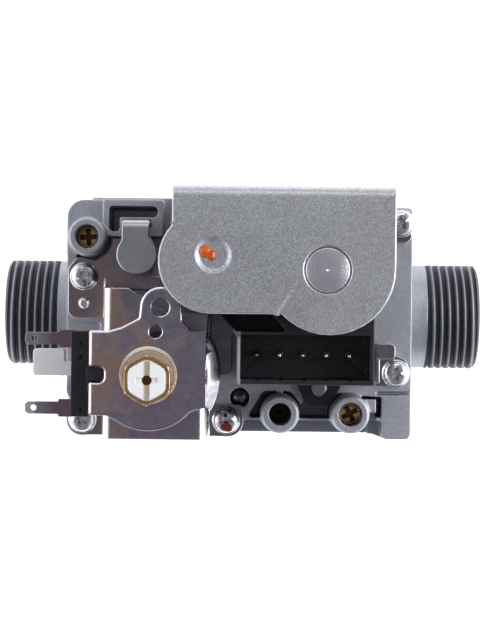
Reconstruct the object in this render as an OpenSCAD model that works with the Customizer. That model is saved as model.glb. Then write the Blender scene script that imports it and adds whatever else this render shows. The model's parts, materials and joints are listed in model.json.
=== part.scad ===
// Gas control valve for a wall-hung boiler: a die-cast body with two threaded spigots,
// two solenoid shut-off valves under a steel cover, and a pressure modulator beside them.
// Frame: +X from outlet to inlet, +Y to the back, +Z up from the base. Millimetres.

/* [Body] */
// Length over the two threaded spigots
overall_length = 112; // [110:0.5:114]
// Depth of the assembly, front to back
overall_depth = 56.4; // [56:0.2:57]
// Height of the casting's top face above the base
deck_z = 37; // [36.5:0.1:37.5]
// Height of the gas way's axis above the base
axis_z = 20; // [19.5:0.1:20.5]
// Distance of the gas way's axis from the middle plane
axis_y = 0.5; // [0:0.1:0.8]
// Radius of the bore in each spigot
gas_bore_r = 9.5; // [9:0.1:9.5]

/* [Threads] */
// Outside radius of the G 3/4 pipe thread
thread_r = 13.22; // [13.2:0.01:13.25]
// Half width across the two flats along the casting's parting line
thread_flat = 12.35; // [12.3:0.01:12.5]
// Length of thread on each spigot
thread_length = 12.2; // [11:0.1:12.5]

/* [Heights] */
// Top face of the modulator bracket
bracket_z = 48; // [47.5:0.1:48.5]
// Top face of the modulator yoke
yoke_z = 66; // [65.5:0.1:66.5]
// Rim of the electrical connector
connector_z = 69; // [68:0.1:69.5]
// Top face of the coil cover
cover_z = 75; // [74.5:0.1:75.5]

/* [Sheet metal] */
// Thickness of the bracket's steel
bracket_t = 1.2; // [1:0.1:1.4]
// Thickness of the yoke's and the cover's steel
yoke_t = 1.5; // [1.3:0.1:1.5]

/* [Valves] */
// Lift of each solenoid plunger
valve_lift = 2; // [1.5:0.1:2.2]
// Pitch of the modulator's adjusting thread
adjuster_pitch = 1; // [0.75:0.25:1]
// Pitch of the two test-point screws
tap_pitch = 0.8; // [0.7:0.1:0.8]

/* [Hidden] */
$fn = 48;

half_length = overall_length / 2;
front_y = -overall_depth / 2;
back_y = overall_depth / 2;

// Casting outline and levels
body_left = -41;
body_right = 39.5;
body_back = 27.4;
body_front = -27.2;
ledge_y = -24;
ledge_z = 29;
pocket_z = 30;
base_h = 6;
gasket_t = 0.6;
casting_z = base_h + gasket_t;
gallery_z = 13;
seat_floor_z = 16;
flange_seat_z = 33.2;
thread_root_r = 12.06;

// Axes of the working parts, seen from above
ev1 = [18.14, 10.2];
ev2 = [-6.35, 12.6];
main_axis = [-16, -2.4];
modulator = [-20.5, -14];
yoke_centre = [-20.4, -13];
guard_centre = [-24.3, 14];
outlet_tap = [-35.9, 18];
inlet_tap = [25.1, -22.2];
vent_tap = [8.9, -22.3];
ball_at = [-0.4, -18.9];
pilot_drilling = [-27, -19.2];
connector_post = [18, -16.4];
earth_screw_at = [35.8, -12.8];
corner_screw_at = [36.6, 22.1];
bracket_screw_at = [[-36.9, 8.9], [-36.9, -24.2], [-3.5, -24.1]];
bracket_pin_at = [-36.9, 2.7];
base_screw_at = [[-33, 21], [-33, -20], [5, 22.5], [5, -20.5], [33, 21], [33, -20]];

// Fasteners
screw_r = 1.5;
screw_head_r = 2.95;
screw_head_h = 2.3;
running_gap = 0.06;

// Test points: outer nipple, screw bore and drilled passage
tap_top_z = 44;
tap_bore_r = 2.7;
tap_bore_z = 33;
vent_bore_z = 34.5;
tap_screw_r = 2.64;
passage_r = 1.2;

// Solenoids
ev1_winding_r = 11.6;
ev2_winding_r = 8.6;
ev1_tube_r = 5;
ev2_tube_r = 3.6;
tube_wall = 0.5;
coil_base_z = deck_z + bracket_t;
coil_top_z = cover_z - yoke_t - 0.2;
valve_spring_h = deck_z - seat_floor_z - 5.75;

// Modulator
nut_af = 10;
min_af = 8.1;
core_tube_r = 4.6;
plunger_r = 3.5;

// Connector
connector_left = -1.1;
connector_right = 28.6;
connector_front = -14.6;
connector_back = -3.8;
pin_pitch = 5.08;
pin_count = 5;
first_pin_x = 3.3;
pin_y = -8.1;

function unit(v) = v / norm(v);

// Points of the arc that rounds the corner at b, between its neighbours a and c
function corner_arc(a, b, c, r, steps) =
    let (u = unit(a - b), v = unit(c - b), angle = acos(u * v),
         reach = r / tan(angle / 2), o = b + unit(u + v) * r / sin(angle / 2),
         p = b + u * reach - o, q = b + v * reach - o,
         from = atan2(p.y, p.x), turn = (atan2(q.y, q.x) - from + 900) % 360 - 180)
    [for (i = [0:steps]) o + r * [cos(from + turn * i / steps), sin(from + turn * i / steps)]];

// An outline of [x, y, corner radius] points as a plain list of points
function rounded(points, steps = 6) =
    let (n = len(points), xy = [for (p = points) [p.x, p.y]])
    [for (i = [0:n - 1])
        each (points[i][2] > 0
              ? corner_arc(xy[(i + n - 1) % n], xy[i], xy[(i + 1) % n], points[i][2], steps)
              : [xy[i]])];

// Points of an arc, as sharp points of an outline
function arc(centre, r, from, to, steps = 16) =
    [for (i = [0:steps]) let (a = from + (to - from) * i / steps)
        [centre.x + r * cos(a), centre.y + r * sin(a), 0]];

// A flat plate cut to an outline
module plate(points, z, h, steps = 6) translate([0, 0, z]) linear_extrude(h) polygon(rounded(points, steps));

// A box with rounded upright edges, from corner to corner
module slab(low, high, r)
    plate([[low.x, low.y, r], [high.x, low.y, r], [high.x, high.y, r], [low.x, high.y, r]],
          low.z, high.z - low.z);

module post(at, z, h, r, top_r = undef) translate([at.x, at.y, z])
    cylinder(h = h, r1 = r, r2 = is_undef(top_r) ? r : top_r);

module ring(at, z, h, outer, inner) difference() {
    post(at, z, h, outer);
    post(at, z - 1, h + 2, inner);
}

module along_x(x, y, z, length, r) translate([x, y, z]) rotate([0, 90, 0]) cylinder(h = length, r = r);

module along_y(x, y, z, length, r) translate([x, y, z]) rotate([-90, 0, 0]) cylinder(h = length, r = r);

// A hexagonal prism across flats, with flats facing left and right
module hexagon(at, z, h, af) translate([at.x, at.y, z]) rotate([0, 0, 30])
    cylinder(h = h, r = af / sqrt(3), $fn = 6);

module o_ring(at, z, r, wire_r) translate([at.x, at.y, z]) rotate_extrude()
    translate([r, 0]) circle(wire_r, $fn = 24);

// Pan-head screw standing at z, with a cross recess
module pan_screw(at, z, length, head_r = screw_head_r) translate([at.x, at.y, z]) difference() {
    union() {
        translate([0, 0, -length]) cylinder(h = length + 0.2, r = screw_r);
        rotate_extrude() polygon([[0, 0], [head_r + 0.35, 0], [head_r + 0.35, 0.35], [head_r, 0.55],
                                  [head_r * 0.98, 1.3], [head_r * 0.86, 1.9], [head_r * 0.6, screw_head_h],
                                  [0, screw_head_h]]);
    }
    cross_recess(screw_head_h, 1.5, 1.9, 0.75);
}

// Cross recess cut down from z by depth
module cross_recess(z, depth, reach, width) for (turn = [0, 90]) rotate([0, 0, turn])
    translate([-reach, -width / 2, z - depth]) cube([reach * 2, width, depth + 1]);

// Compression spring: one swept polyhedron standing on z
module spring(at, z, height, r, wire_r, turns) {
    sides = 8;
    steps = 14;
    n = round(turns * steps);
    rise = height - 2 * wire_r;
    rings = [for (i = [0:n]) let (a = 360 * turns * i / n)
        for (k = [0:sides - 1]) let (b = 360 * k / sides, d = r + wire_r * cos(b))
            [at.x + d * cos(a), at.y + d * sin(a), z + wire_r + rise * i / n + wire_r * sin(b)]];
    walls = [for (i = [0:n - 1]) for (k = [0:sides - 1]) let (m = (k + 1) % sides, s = i * sides)
        [s + k, s + m, s + sides + m, s + sides + k]];
    polyhedron(rings, concat(walls, [[for (k = [0:sides - 1]) sides - 1 - k]],
                             [[for (k = [0:sides - 1]) n * sides + k]]));
}

// ---- Casting and base -------------------------------------------------------------------

// Threaded spigot with flats along the parting line; side is -1 for outlet and 1 for inlet
module spigot(side, face_x) intersection() {
    union() {
        reach = half_length - abs(face_x);
        mirror([side < 0 ? 1 : 0, 0, 0]) translate([abs(face_x), axis_y, axis_z]) rotate([0, 90, 0]) {
            translate([0, 0, -3]) cylinder(h = reach + 3 - thread_length, r = thread_flat);
            translate([0, 0, reach - thread_length]) cylinder(h = thread_length - 1, r = thread_r);
            translate([0, 0, reach - 1]) cylinder(h = 1, r1 = thread_r, r2 = thread_root_r);
        }
    }
    translate([-half_length - 1, axis_y - thread_flat, 0]) cube([overall_length + 2, 2 * thread_flat, 60]);
}

module tap_nipple(at, base_z, step_z) {
    post(at, base_z, step_z - base_z, 4.6);
    post(at, base_z, tap_top_z - base_z - 0.5, 4.4);
    post(at, tap_top_z - 0.5, 0.5, 4.4, 3.9);
}

module casting_block() {
    // Main block, with its lower front step
    plate([[body_left, -26.6, 2], [body_right, -26.6, 2], [body_right, 25.8, 1.2], [33, 25.8, 0],
           [32.2, body_back, 0], [-35.1, body_back, 0], [-35.4, 26.8, 0], [body_left, 26.8, 4]],
          casting_z, ledge_z - casting_z);
    // Upper block behind the ledge
    plate([[body_left, -20.6, 3], [-30, -20.6, 0], [-30, ledge_y, 0], [body_right, ledge_y, 0],
           [body_right, 25.8, 1.2], [33, 25.8, 0], [32.2, body_back, 0], [-35.1, body_back, 0],
           [-35.4, 26.8, 0], [body_left, 26.8, 4]], ledge_z - 1, deck_z - ledge_z + 1);
    // Lower step at the front, and the corner block that the valve is clamped by
    slab([-1, body_front, casting_z], [32.5, -20, ledge_z], 0.8);
    slab([32.7, front_y, casting_z + 4], [39.4, -17.4, deck_z], 1.2);
    plate([[29.6, -23, 0], [32.9, -24.6, 0], [33.2, front_y, 0], [31.8, -27.6, 0.6], [30.6, body_front, 0.6],
           [29.6, body_front, 0]], casting_z + 4, 33 - casting_z - 4);
    // Lugs for the bracket screws at the front
    for (at = [bracket_screw_at[1], bracket_screw_at[2]]) post(at, casting_z + 6, deck_z - casting_z - 6, 4);
    // Raised pad in the back left corner, around the outlet test point
    difference() {
        plate([[body_left, 14, 0], [-36.5, 13.6, 0], [-32.2, 17, 0], [-32.2, 26.8, 0], [body_left, 26.8, 4]],
              deck_z - 1, 2.2);
        post(outlet_tap, deck_z - 2, 6, 4.2);
    }
    // Raised frame of the slot that holds the plug's guard
    slab([-32.4, 18.2, deck_z - 1], [-18.6, 26.8, deck_z + 3.5], 0.6);
    // Ribs on the sides, front and back
    for (x = [-26, -12, 2, 16, 30]) translate([x, body_back - 0.6, casting_z + 1]) cube([1.6, 0.8, 20]);
}

module casting_pockets() {
    // Pocket around the two front test points and under the connector's lug
    plate([[1.9, -23.4, 0.3], [2, -22.3, 1], [4, -19.2, 1], [5, -17.3, 1.4], [11.2, -17.3, 1.5],
           [13, -19.3, 0.8], [13.8, -20.6, 0.3], [14.8, -18.4, 0.5], [21.2, -18.4, 0.5], [22.6, -17.7, 0.8],
           [25.2, -17.3, 1], [26.8, -18.1, 0.3], [32.6, -18.4, 0], [32.6, -23.2, 0.3], [31.4, -23.2, 0.3],
           [31.4, -18.9, 0.2], [28.4, -18.9, 0.4], [28.4, -23.4, 0]], pocket_z, 20);
    // Step down beside the inlet test point
    plate([[27.5, -25, 0], [31.4, -25, 0], [31.4, -22, 0.4], [27.5, -22, 0]], deck_z - 3, 10);
    // Gap round the lower side of the outlet test point
    intersection() {
        ring(outlet_tap, deck_z - 3, 8, 5.4, 4);
        plate([[-35.9, 18, 0], [-29, 18.4, 0], [-29, 11, 0], [-40.6, 11, 0]], deck_z - 3, 8);
    }
    // Slot beside the guard, and the narrow seat that its leg is pressed into
    plate([[-31.1, 19.4, 1], [-28.7, 19.4, 0.6], [-28.7, 22.7, 0.4], [-19.8, 22.7, 1.2], [-19.8, 25.2, 1.2],
           [-31.1, 25.2, 0.8]], deck_z - 9, 20);
    translate([-28.05, 20.35, deck_z - 6]) cube([6.7, 1.7, 20]);
    // Groove behind the corner block
    translate([31.4, -17.85, deck_z - 1.3]) cube([10, 0.7, 3]);
    // Recess behind the outlet spigot, where the casting dips between the two bracket pads
    plate([[body_left - 1, -1.6, 0], [-33, -1.6, 1], [-33, -19.6, 1], [body_left - 1, -19.6, 0]],
          deck_z - 2, 10);
}

module gas_ways() {
    along_x(27.8, axis_y, axis_z, half_length, gas_bore_r);
    along_x(-half_length - 1, axis_y, axis_z, half_length - 28, gas_bore_r);
    // First valve: chamber with its inlet, counterbore, seat port
    slab([12, -7, seat_floor_z + 0.5], [29, 9, 28], 2);
    post(ev1, seat_floor_z, 30, 9);
    post(ev1, flange_seat_z, 10, 10.4);
    post(ev1, gallery_z - 1, 10, 5.5);
    // Second valve: chamber, counterbore, pilot port
    post(ev2, seat_floor_z, 30, 5.6);
    post(ev2, flange_seat_z, 10, 6.9);
    post(ev2, gallery_z - 1, 10, 2);
    // Main valve: chamber with its outlet, seat port
    slab([-30, -7, seat_floor_z + 0.5], [main_axis.x, 8, 26], 2);
    post(main_axis, seat_floor_z, 10.5, 9.3);
    post(main_axis, gallery_z - 1, 10, 6.6);
    // Galleries below the partition: over the diaphragm, across, and under the first valve
    post(main_axis, casting_z - 1, gallery_z - casting_z + 1, 13);
    slab([-10, -5, 9.5], [8, 15.5, gallery_z], 1);
    slab([6, -13, casting_z - 1], [26, 17, gallery_z], 3);
    // Regulator chamber under the modulator, and its pilot drillings
    post(modulator, 31, 10, 8.6);
    along_y(-9.5, modulator.y, 29.4, 22, 0.9);
    along_x(-14.4, modulator.y, 29.4, 5, 0.9);
    post([-14.4, modulator.y], 28.5, 4, 0.9);
    post(pilot_drilling, casting_z - 1, 26, 0.9);
}

module tap_drilling(at, reach_z, toward_y) {
    post(at, tap_bore_z, 20, tap_bore_r);
    post(at, reach_z, 20, passage_r);
    translate([0, min(at.y, toward_y), 0]) along_y(at.x, 0, reach_z + 1, abs(at.y - toward_y), passage_r);
}

module body_casting() color("dimgray") difference() {
    union() {
        difference() {
            union() {
                casting_block();
                spigot(-1, body_left);
                spigot(1, body_right);
            }
            casting_pockets();
        }
        tap_nipple(outlet_tap, deck_z - 4, tap_top_z - 3.4);
        tap_nipple(inlet_tap, pocket_z - 1, tap_top_z - 4.4);
        tap_nipple(vent_tap, pocket_z - 1, tap_top_z - 4.4);
        post(ball_at, deck_z - 3, 3, 3);
    }
    gas_ways();
    tap_drilling(outlet_tap, 23, 6);
    tap_drilling(inlet_tap, 20, -6);
    post(vent_tap, vent_bore_z, 20, 2.55);
    post(vent_tap, vent_bore_z - 2.5, 3, 2.2);
    post(vent_tap, casting_z + 9, 40, 0.8);
    post(ball_at, deck_z - 5, 10, 2.25);
    post(ball_at, casting_z + 2, 30, 0.9);
    // Raised seats of the valves are left standing by their annular grooves
    for (v = [[ev1, 7, 8.6], [main_axis, 7.6, 8.8]]) ring(v[0], seat_floor_z - 1, 1.5, v[2], v[1]);
    for (at = concat(bracket_screw_at, [earth_screw_at, corner_screw_at]))
        post(at, deck_z - 9, 20, screw_r + 0.02);
    post(connector_post, deck_z - 4, 20, 1.3);
    post(bracket_pin_at, deck_z - 4, 20, 1.1);
    for (at = base_screw_at) post(at, casting_z - 1, 8, screw_r + 0.02);
    post(guard_centre, deck_z - 5, 20, 3.5);
}

module base_cover() color("gray") difference() {
    union() {
        plate([[-38.5, -25.6, 4], [37.5, -25.6, 4], [37.5, 26, 4], [-38.5, 26, 4]], 1, base_h - 1);
        plate([[-36.5, -23.6, 3], [35.5, -23.6, 3], [35.5, 24, 3], [-36.5, 24, 3]], 0, 1.2);
    }
    // Pilot chamber under the diaphragm, with its channel, and the sump under the first valve
    post(main_axis, 2, 10, 13);
    slab([-28, -20.4, 4.4], [-24, -8, 10], 0.5);
    slab([6.5, -12.5, 3], [25.5, 16.5, 10], 3);
    for (at = base_screw_at) {
        post(at, -1, 10, screw_r + 0.15);
        post(at, -1, 3.6, screw_head_r + 0.5);
    }
}

module base_gasket() color("black") difference() {
    plate([[-38.5, -25.6, 4], [37.5, -25.6, 4], [37.5, 26, 4], [-38.5, 26, 4]], base_h, gasket_t);
    post(main_axis, base_h - 1, 3, 15);
    post(pilot_drilling, base_h - 1, 3, 1.1);
    slab([6.5, -12.5, base_h - 1], [25.5, 16.5, base_h + 2], 3);
    for (at = base_screw_at) post(at, base_h - 1, 3, screw_r + 0.15);
}

module base_screws() color("silver") for (at = base_screw_at) mirror([0, 0, 1])
    pan_screw(at, -2.6, 9.4);

module inlet_filter() color("lightgray") translate([29.5, axis_y, axis_z]) rotate([0, 90, 0]) difference() {
    union() {
        cylinder(h = 14, r = 8.2);
        translate([0, 0, 12]) cylinder(h = 2, r = gas_bore_r - 0.02);
    }
    translate([0, 0, 1]) cylinder(h = 14, r = 7.4);
}

// ---- Solenoid valves --------------------------------------------------------------------

// Guide tube with its fixed core at the top; the plunger slides inside
module guide_tube(at, r, flange_r, top_z) color("silver") difference() {
    union() {
        post(at, deck_z - 2, 1.9, flange_r);
        post(at, deck_z - 2.5, top_z - deck_z + 2.5, r);
    }
    post(at, deck_z - 4, 28, r - tube_wall);
}

module solenoid_plunger(at, r, collar_r) color("slategray") {
    disc_z = seat_floor_z + 0.05;
    post(at, disc_z + 3, 39.6, r - tube_wall - running_gap);
    post(at, disc_z, 3.2, r * 0.5);
    post(at, disc_z + 2.4, 1.2, collar_r);
}

module valve_disc(at, outer, stem_r) color("black") ring(at, seat_floor_z + 0.05, 2.4, outer, stem_r);

module ev1_guide_tube() guide_tube(ev1, ev1_tube_r, 10.3, cover_z - 0.15);
module ev2_guide_tube() guide_tube(ev2, ev2_tube_r, 6.8, coil_top_z - 0.1);
module ev1_plunger() solenoid_plunger(ev1, ev1_tube_r, 7.2);
module ev2_plunger() solenoid_plunger(ev2, ev2_tube_r, 5);
module ev1_valve_disc() valve_disc(ev1, 8, ev1_tube_r * 0.5);
module ev2_valve_disc() valve_disc(ev2, 4.6, ev2_tube_r * 0.5);
module ev1_spring() color("silver") spring(ev1, seat_floor_z + 3.7, valve_spring_h, 6.6, 0.4, 5);
module ev2_spring() color("silver") spring(ev2, seat_floor_z + 3.7, valve_spring_h, 4.5, 0.3, 6);
module winding(at, r, tube_r) color("sienna")
    ring(at, coil_base_z + 2.2, coil_top_z - coil_base_z - 5, r, tube_r + 0.9);
module ev1_winding() winding(ev1, ev1_winding_r, ev1_tube_r);
module ev2_winding() winding(ev2, ev2_winding_r, ev2_tube_r);
module ev1_flange_seal() color("black") o_ring(ev1, deck_z - 2.9, 9.5, 0.85);
module ev2_flange_seal() color("black") o_ring(ev2, deck_z - 2.9, 6.1, 0.75);

// Steel plate under both coils, with an ear by the corner screw
module coil_base_plate() color("rosybrown") difference() {
    plate([[-14.6, 0.9, 1.5], [31, 0.9, 1.5], [31, 17.5, 0], [39.2, 17.5, 2], [39.2, 25.4, 2], [31, 25.4, 0],
           [31, 26.2, 0], [-14.6, 26.2, 0]], deck_z, bracket_t);
    post(ev1, deck_z - 1, 4, ev1_tube_r + 0.05);
    post(ev2, deck_z - 1, 4, ev2_tube_r + 0.05);
    post(corner_screw_at, deck_z - 1, 4, screw_r + 0.1);
}

// Black moulding that holds both windings and carries the connector
module coil_housing() color("darkslategray") difference() {
    union() {
        post(ev1, coil_base_z, coil_top_z - coil_base_z, 13);
        post(ev2, coil_base_z, coil_top_z - coil_base_z, 10);
        slab([ev2.x, 6, coil_base_z], [ev1.x, 22, coil_top_z], 1);
        // Connector box with its slanting shoulder to the coils
        plate([[connector_left, connector_front, 0.6], [connector_right, connector_front, 0.6],
               [connector_right, 4, 0], [-3.4, 4, 0], [-6.2, 1.4, 0.6], [connector_left, -4.4, 0.6]],
              coil_base_z + 1, connector_z - coil_base_z - 1);
        // Foot of the connector, with its fixing lug
        slab([12, connector_front, deck_z + 0.05], [24, -6, coil_base_z + 1.2], 0.4);
        plate([[11.9, connector_front + 1, 0], [13.9, -17.8, 1], [15, -20.6, 2.6], [21, -20.6, 2.6],
               [22.1, -17.8, 1], [24.1, connector_front + 1, 0]], deck_z + 0.05, 1.8);
    }
    // Plug cavity and the open pocket behind it
    slab([connector_left + 0.7, connector_front + 1.1, 58],
         [connector_right - 0.9, connector_back - 0.1, connector_z + 1], 0.3);
    plate([[-1.4, -3.1, 0.3], [9.6, -3.1, 0.3], [6.2, 0.4, 0.3], [3, 2.4, 0.3], [-2.6, 2.4, 0.3],
           [-4.6, 0.6, 0.3]], 60, 20);
    // Keying slots in the front wall of the cavity
    for (i = [0:pin_count - 1]) translate([first_pin_x + i * pin_pitch - 0.5, connector_front + 0.9, 60])
        cube([1, 1, 20]);
    // Seats of the windings and tubes
    for (c = [[ev1, ev1_winding_r, ev1_tube_r], [ev2, ev2_winding_r, ev2_tube_r]]) {
        post(c[0], coil_base_z + 2.15, coil_top_z - coil_base_z - 4.9, c[1] + 0.02);
        post(c[0], coil_base_z - 1, 60, c[2] + 0.05);
    }
    for (i = [0:pin_count - 1]) translate([first_pin_x + i * pin_pitch - 0.5, pin_y - 0.5, 54])
        cube([1, 1, 10]);
    post(connector_post, deck_z - 1, 10, 1.4);
}

// Outline of the cover's top, from the back left corner
cover_outline = concat(
    [[-15.3, back_y, 0], [-15.3, 19.6, 0]],
    arc([-6.9, 11.9], 11.3, 137, 270, 14),
    [[6.6, 0.6, 0.5], [7.6, 0.1, 0.5]],
    arc([18.5, 10.5], 14.2, 223, 360, 14),
    [[32.7, 12.5, 0], [32.7, back_y, 0]]);

module coil_cover() color("darkgray") difference() {
    intersection() {
        rotate([90, 0, 90]) translate([0, 0, -20]) linear_extrude(60)
            polygon(rounded([[-6, cover_z, 0], [back_y, cover_z, 2.6], [back_y, deck_z + 3, 0],
                             [back_y - yoke_t, deck_z + 3, 0], [back_y - yoke_t, cover_z - yoke_t, 1.1],
                             [-6, cover_z - yoke_t, 0]]));
        linear_extrude(90) polygon(rounded(cover_outline));
    }
    post(ev1, cover_z - 4, 10, ev1_tube_r + 0.05);
    // Shallow dimple over the second coil
    post([ev2.x, ev2.y + 0.5], cover_z - 0.55, 2, 3.1, 5.6);
    // Two corners cut off the foot of the back wall
    for (x = [-15.3, 32.7]) translate([x, back_y, deck_z + 3]) rotate([0, 45, 0])
        cube([3, 6, 3], center = true);
}

module cover_seal_paint() color("orangered") translate([ev2.x - 1.3, ev2.y + 0.8, cover_z - 0.55])
    intersection() {
        scale(1) sphere(1.75);
        translate([-3, -3, 0]) cube([6, 6, 0.85]);
    }

module connector_pins() color("silver") for (i = [0:pin_count - 1]) {
    translate([first_pin_x + i * pin_pitch - 0.5, pin_y - 0.5, 54]) cube([1, 1, 11.2]);
    translate([first_pin_x + i * pin_pitch - 0.5, pin_y - 0.5, 65.2]) linear_extrude(0.8, scale = 0.5)
        translate([0, 0]) square(1);
}

module connector_rivet() color("lightgray") {
    post(connector_post, deck_z - 4, 5.95, 1.28);
    post(connector_post, deck_z + 1.87, 0.6, 2, 1.5);
}

module earth_tab() color("rosybrown") difference() {
    union() {
        plate([[30.9, -15.8, 0.6], [38.6, -15.8, 2], [38.6, -9.8, 2], [35.4, -8.6, 0.6], [35.4, -5.9, 1.4],
               [30.9, -5.9, 0.6]], deck_z, 1);
        translate([30.9, -15, deck_z]) cube([0.9, 8.6, 4.4]);
        plate([[30.9, -9.4, 0], [35.3, -9.4, 0.8], [35.3, -5.9, 1.2], [30.9, -5.9, 0.4]], deck_z + 4.2, 0.9);
    }
    post(earth_screw_at, deck_z - 1, 4, screw_r + 0.1);
}

module earth_screw() color("silver") pan_screw(earth_screw_at, deck_z + 1, 8.5);
module corner_screw() color("silver") pan_screw(corner_screw_at, deck_z + bracket_t, 8.5);

// ---- Main valve -------------------------------------------------------------------------

module main_diaphragm() color("black") difference() {
    union() {
        post(main_axis, base_h, gasket_t, 14.9);
        ring(main_axis, base_h - 0.9, 1.2, 11.6, 10);
    }
    post(main_axis, base_h - 3, 6, 2.05);
}

module main_valve() color("slategray") {
    post(main_axis, seat_floor_z + 0.05, 1, 8.2);
    post(main_axis, base_h - 2, seat_floor_z - base_h + 3, 2);
    post(main_axis, base_h + gasket_t + 0.02, 1, 8.5);
    post(main_axis, base_h - 1.02, 1, 8.5);
}

module main_valve_spring() color("silver") spring(main_axis, seat_floor_z + 1.1, 9.35, 5.4, 0.45, 4);

// ---- Modulator --------------------------------------------------------------------------

// Section of the bracket across its width: two feet, two walls and the top
function bracket_section() = rounded([
    [body_left + 0.3, deck_z, 0], [-31.7 + bracket_t, deck_z, 2],
    [-31.7 + bracket_t, bracket_z - bracket_t, 0.9],
    [-7.9 - bracket_t, bracket_z - bracket_t, 0.9], [-7.9 - bracket_t, deck_z, 2], [1, deck_z, 0],
    [1, deck_z + bracket_t, 0], [-7.9, deck_z + bracket_t, 0.8], [-7.9, bracket_z, 2.1],
    [-31.7, bracket_z, 2.1], [-31.7, deck_z + bracket_t, 0.8], [body_left + 0.3, deck_z + bracket_t, 0]]);

module bracket_plan() {
    // Top and side walls
    polygon(rounded([[-31.8, front_y, 0], [-7.8, front_y, 0], [-7.8, -3.6, 1], [-15.6, -3.6, 1],
                     [-17, 1.2, 1.5], [-19, 1.8, 1], [-26, 6.2, 2.5], [-31.8, 6.2, 0]]));
    // Feet: upper left, lower left, lower right and the wide one under the connector
    polygon(rounded([[body_left + 0.4, -0.8, 2], [-31.6, -0.8, 0], [-31.6, 6.2, 0], [-33.5, 12.6, 2],
                     [-38.6, 13.4, 2], [body_left + 0.4, 10.8, 2]]));
    polygon(rounded([[body_left + 0.4, -27.9, 3.4], [-31.6, -27.9, 0], [-31.6, -20.6, 0],
                     [body_left + 0.4, -20.6, 1]]));
    polygon(rounded([[-8, -27.9, 0], [0.4, -27.9, 3.4], [0.4, -20.5, 1], [-8, -20.5, 0]]));
    polygon(rounded([[-8, -13.8, 0], [-2.3, -13.8, 1], [-2.3, 0.6, 1.5], [-8, 0.6, 0]]));
}

module modulator_bracket() color("rosybrown") difference() {
    union() {
        intersection() {
            translate([0, 60, 0]) rotate([90, 0, 0]) linear_extrude(120) polygon(bracket_section());
            translate([0, 0, deck_z - 1]) linear_extrude(20) bracket_plan();
        }
        // Flat strip behind the bracket, cut round the outlet test point
        difference() {
            plate([[-34.5, 6, 0], [-16.6, 6, 1], [-16.6, 9.1, 0.3], [-21.2, 9.1, 0.3], [-21.2, 17.9, 1],
                   [-31.4, 17.9, 0], [-34.5, 11.5, 0]], deck_z, bracket_t);
            post(outlet_tap, deck_z - 1, 4, 5.4);
        }
    }
    post(modulator, bracket_z - 3, 6, core_tube_r + 0.05);
    post(guard_centre, deck_z - 1, 4, 3.7);
    for (at = bracket_screw_at) post(at, deck_z - 1, 4, screw_r + 0.1);
    post(bracket_pin_at, deck_z - 1, 4, 1.15);
}

module bracket_screws() color("silver") for (at = bracket_screw_at) pan_screw(at, deck_z + bracket_t, 8.5);

module screw_seal_paint() color("darkred")
    translate([bracket_screw_at[2].x + 0.5, bracket_screw_at[2].y - 0.5, deck_z + bracket_t + screw_head_h])
    cylinder(h = 0.35, r1 = 1.5, r2 = 1.1);

module bracket_locating_pin() color("lightgray") {
    post(bracket_pin_at, deck_z - 4, 5.5, 1.08);
    post(bracket_pin_at, deck_z + bracket_t, 0.7, 1.45, 0.8);
}

module regulator_bonnet() color("dimgray") difference() {
    union() {
        post(modulator, deck_z + 0.6, bracket_z - bracket_t - deck_z - 0.65, 8.6);
        post(modulator, deck_z + 0.6, 1.6, 9.6);
    }
    post(modulator, deck_z - 1, 8.2, 7.4);
    post(modulator, deck_z - 1, 20, core_tube_r + 0.05);
}

module regulator_diaphragm() color("black") {
    ring(modulator, deck_z, 0.58, 9.6, 1.55);
    ring(modulator, deck_z + 0.58, 0.9, 5, 1.55);
}

module modulator_bobbin() color("darkslategray") difference() {
    union() {
        post(modulator, bracket_z + 0.05, 1.4, 10.6);
        post(modulator, yoke_z - yoke_t - 1.45, 1.4, 10.6);
        post(modulator, bracket_z + 0.05, yoke_z - yoke_t - bracket_z - 0.1, core_tube_r + 1.2);
        // Terminal block, with the key that fills the notch in the yoke
        slab([-37.6, -22.4, bracket_z + 1.5], [-33.6, -3.6, 62], 0.3);
        slab([-34, -16.5, bracket_z + 0.05], [-29, -11, bracket_z + 1.4], 0.3);
        slab([-33.9, -16.5, bracket_z + 0.6], [-32.4, -11, yoke_z - 3.3], 0.2);
        translate([-34, -14.4, bracket_z + 0.6]) cube([3.8, 2.8, yoke_z - bracket_z - 1.6]);
    }
    post(modulator, bracket_z - 1, 30, core_tube_r + 0.05);
    for (y = [-5.4, -21]) translate([-38, y - 1.1, 51.6]) cube([4, 2.2, 0.82]);
    for (y = [-6.4, -9.4, -21]) post([-35.4, y], 61.4, 2, 0.4);
    translate([-38.2, -13.8, 47.5]) cube([1.5, 6.1, 5.05]);
}

module modulator_winding() color("sienna")
    ring(modulator, bracket_z + 1.5, yoke_z - yoke_t - bracket_z - 3, 9.6, core_tube_r + 1.25);

// Outline of the yoke's top plate
yoke_outline = concat(
    [[-33.5, -3.4, 0.5], [-33.5, -11.3, 0.4], [-30.1, -11.3, 1.2], [-30.1, -14.7, 1.2], [-33.5, -14.7, 0.4],
     [-33.5, -21.9, 0.5], [-29.6, -21.9, 1.5]],
    arc(yoke_centre, 12.2, 236, 312, 12),
    [[-11, -20.8, 0], [-7.9, -20, 0.5], [-7.9, -3, 0.6], [-11.4, -3, 1.4], [-13, -1, 1]],
    arc([-17.8, 1.7], 4.6, -4, 184, 12),
    [[-22.6, -0.6, 0.8], [-26.4, -2.6, 1.5], [-29.2, -3.4, 1]]);

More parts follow.
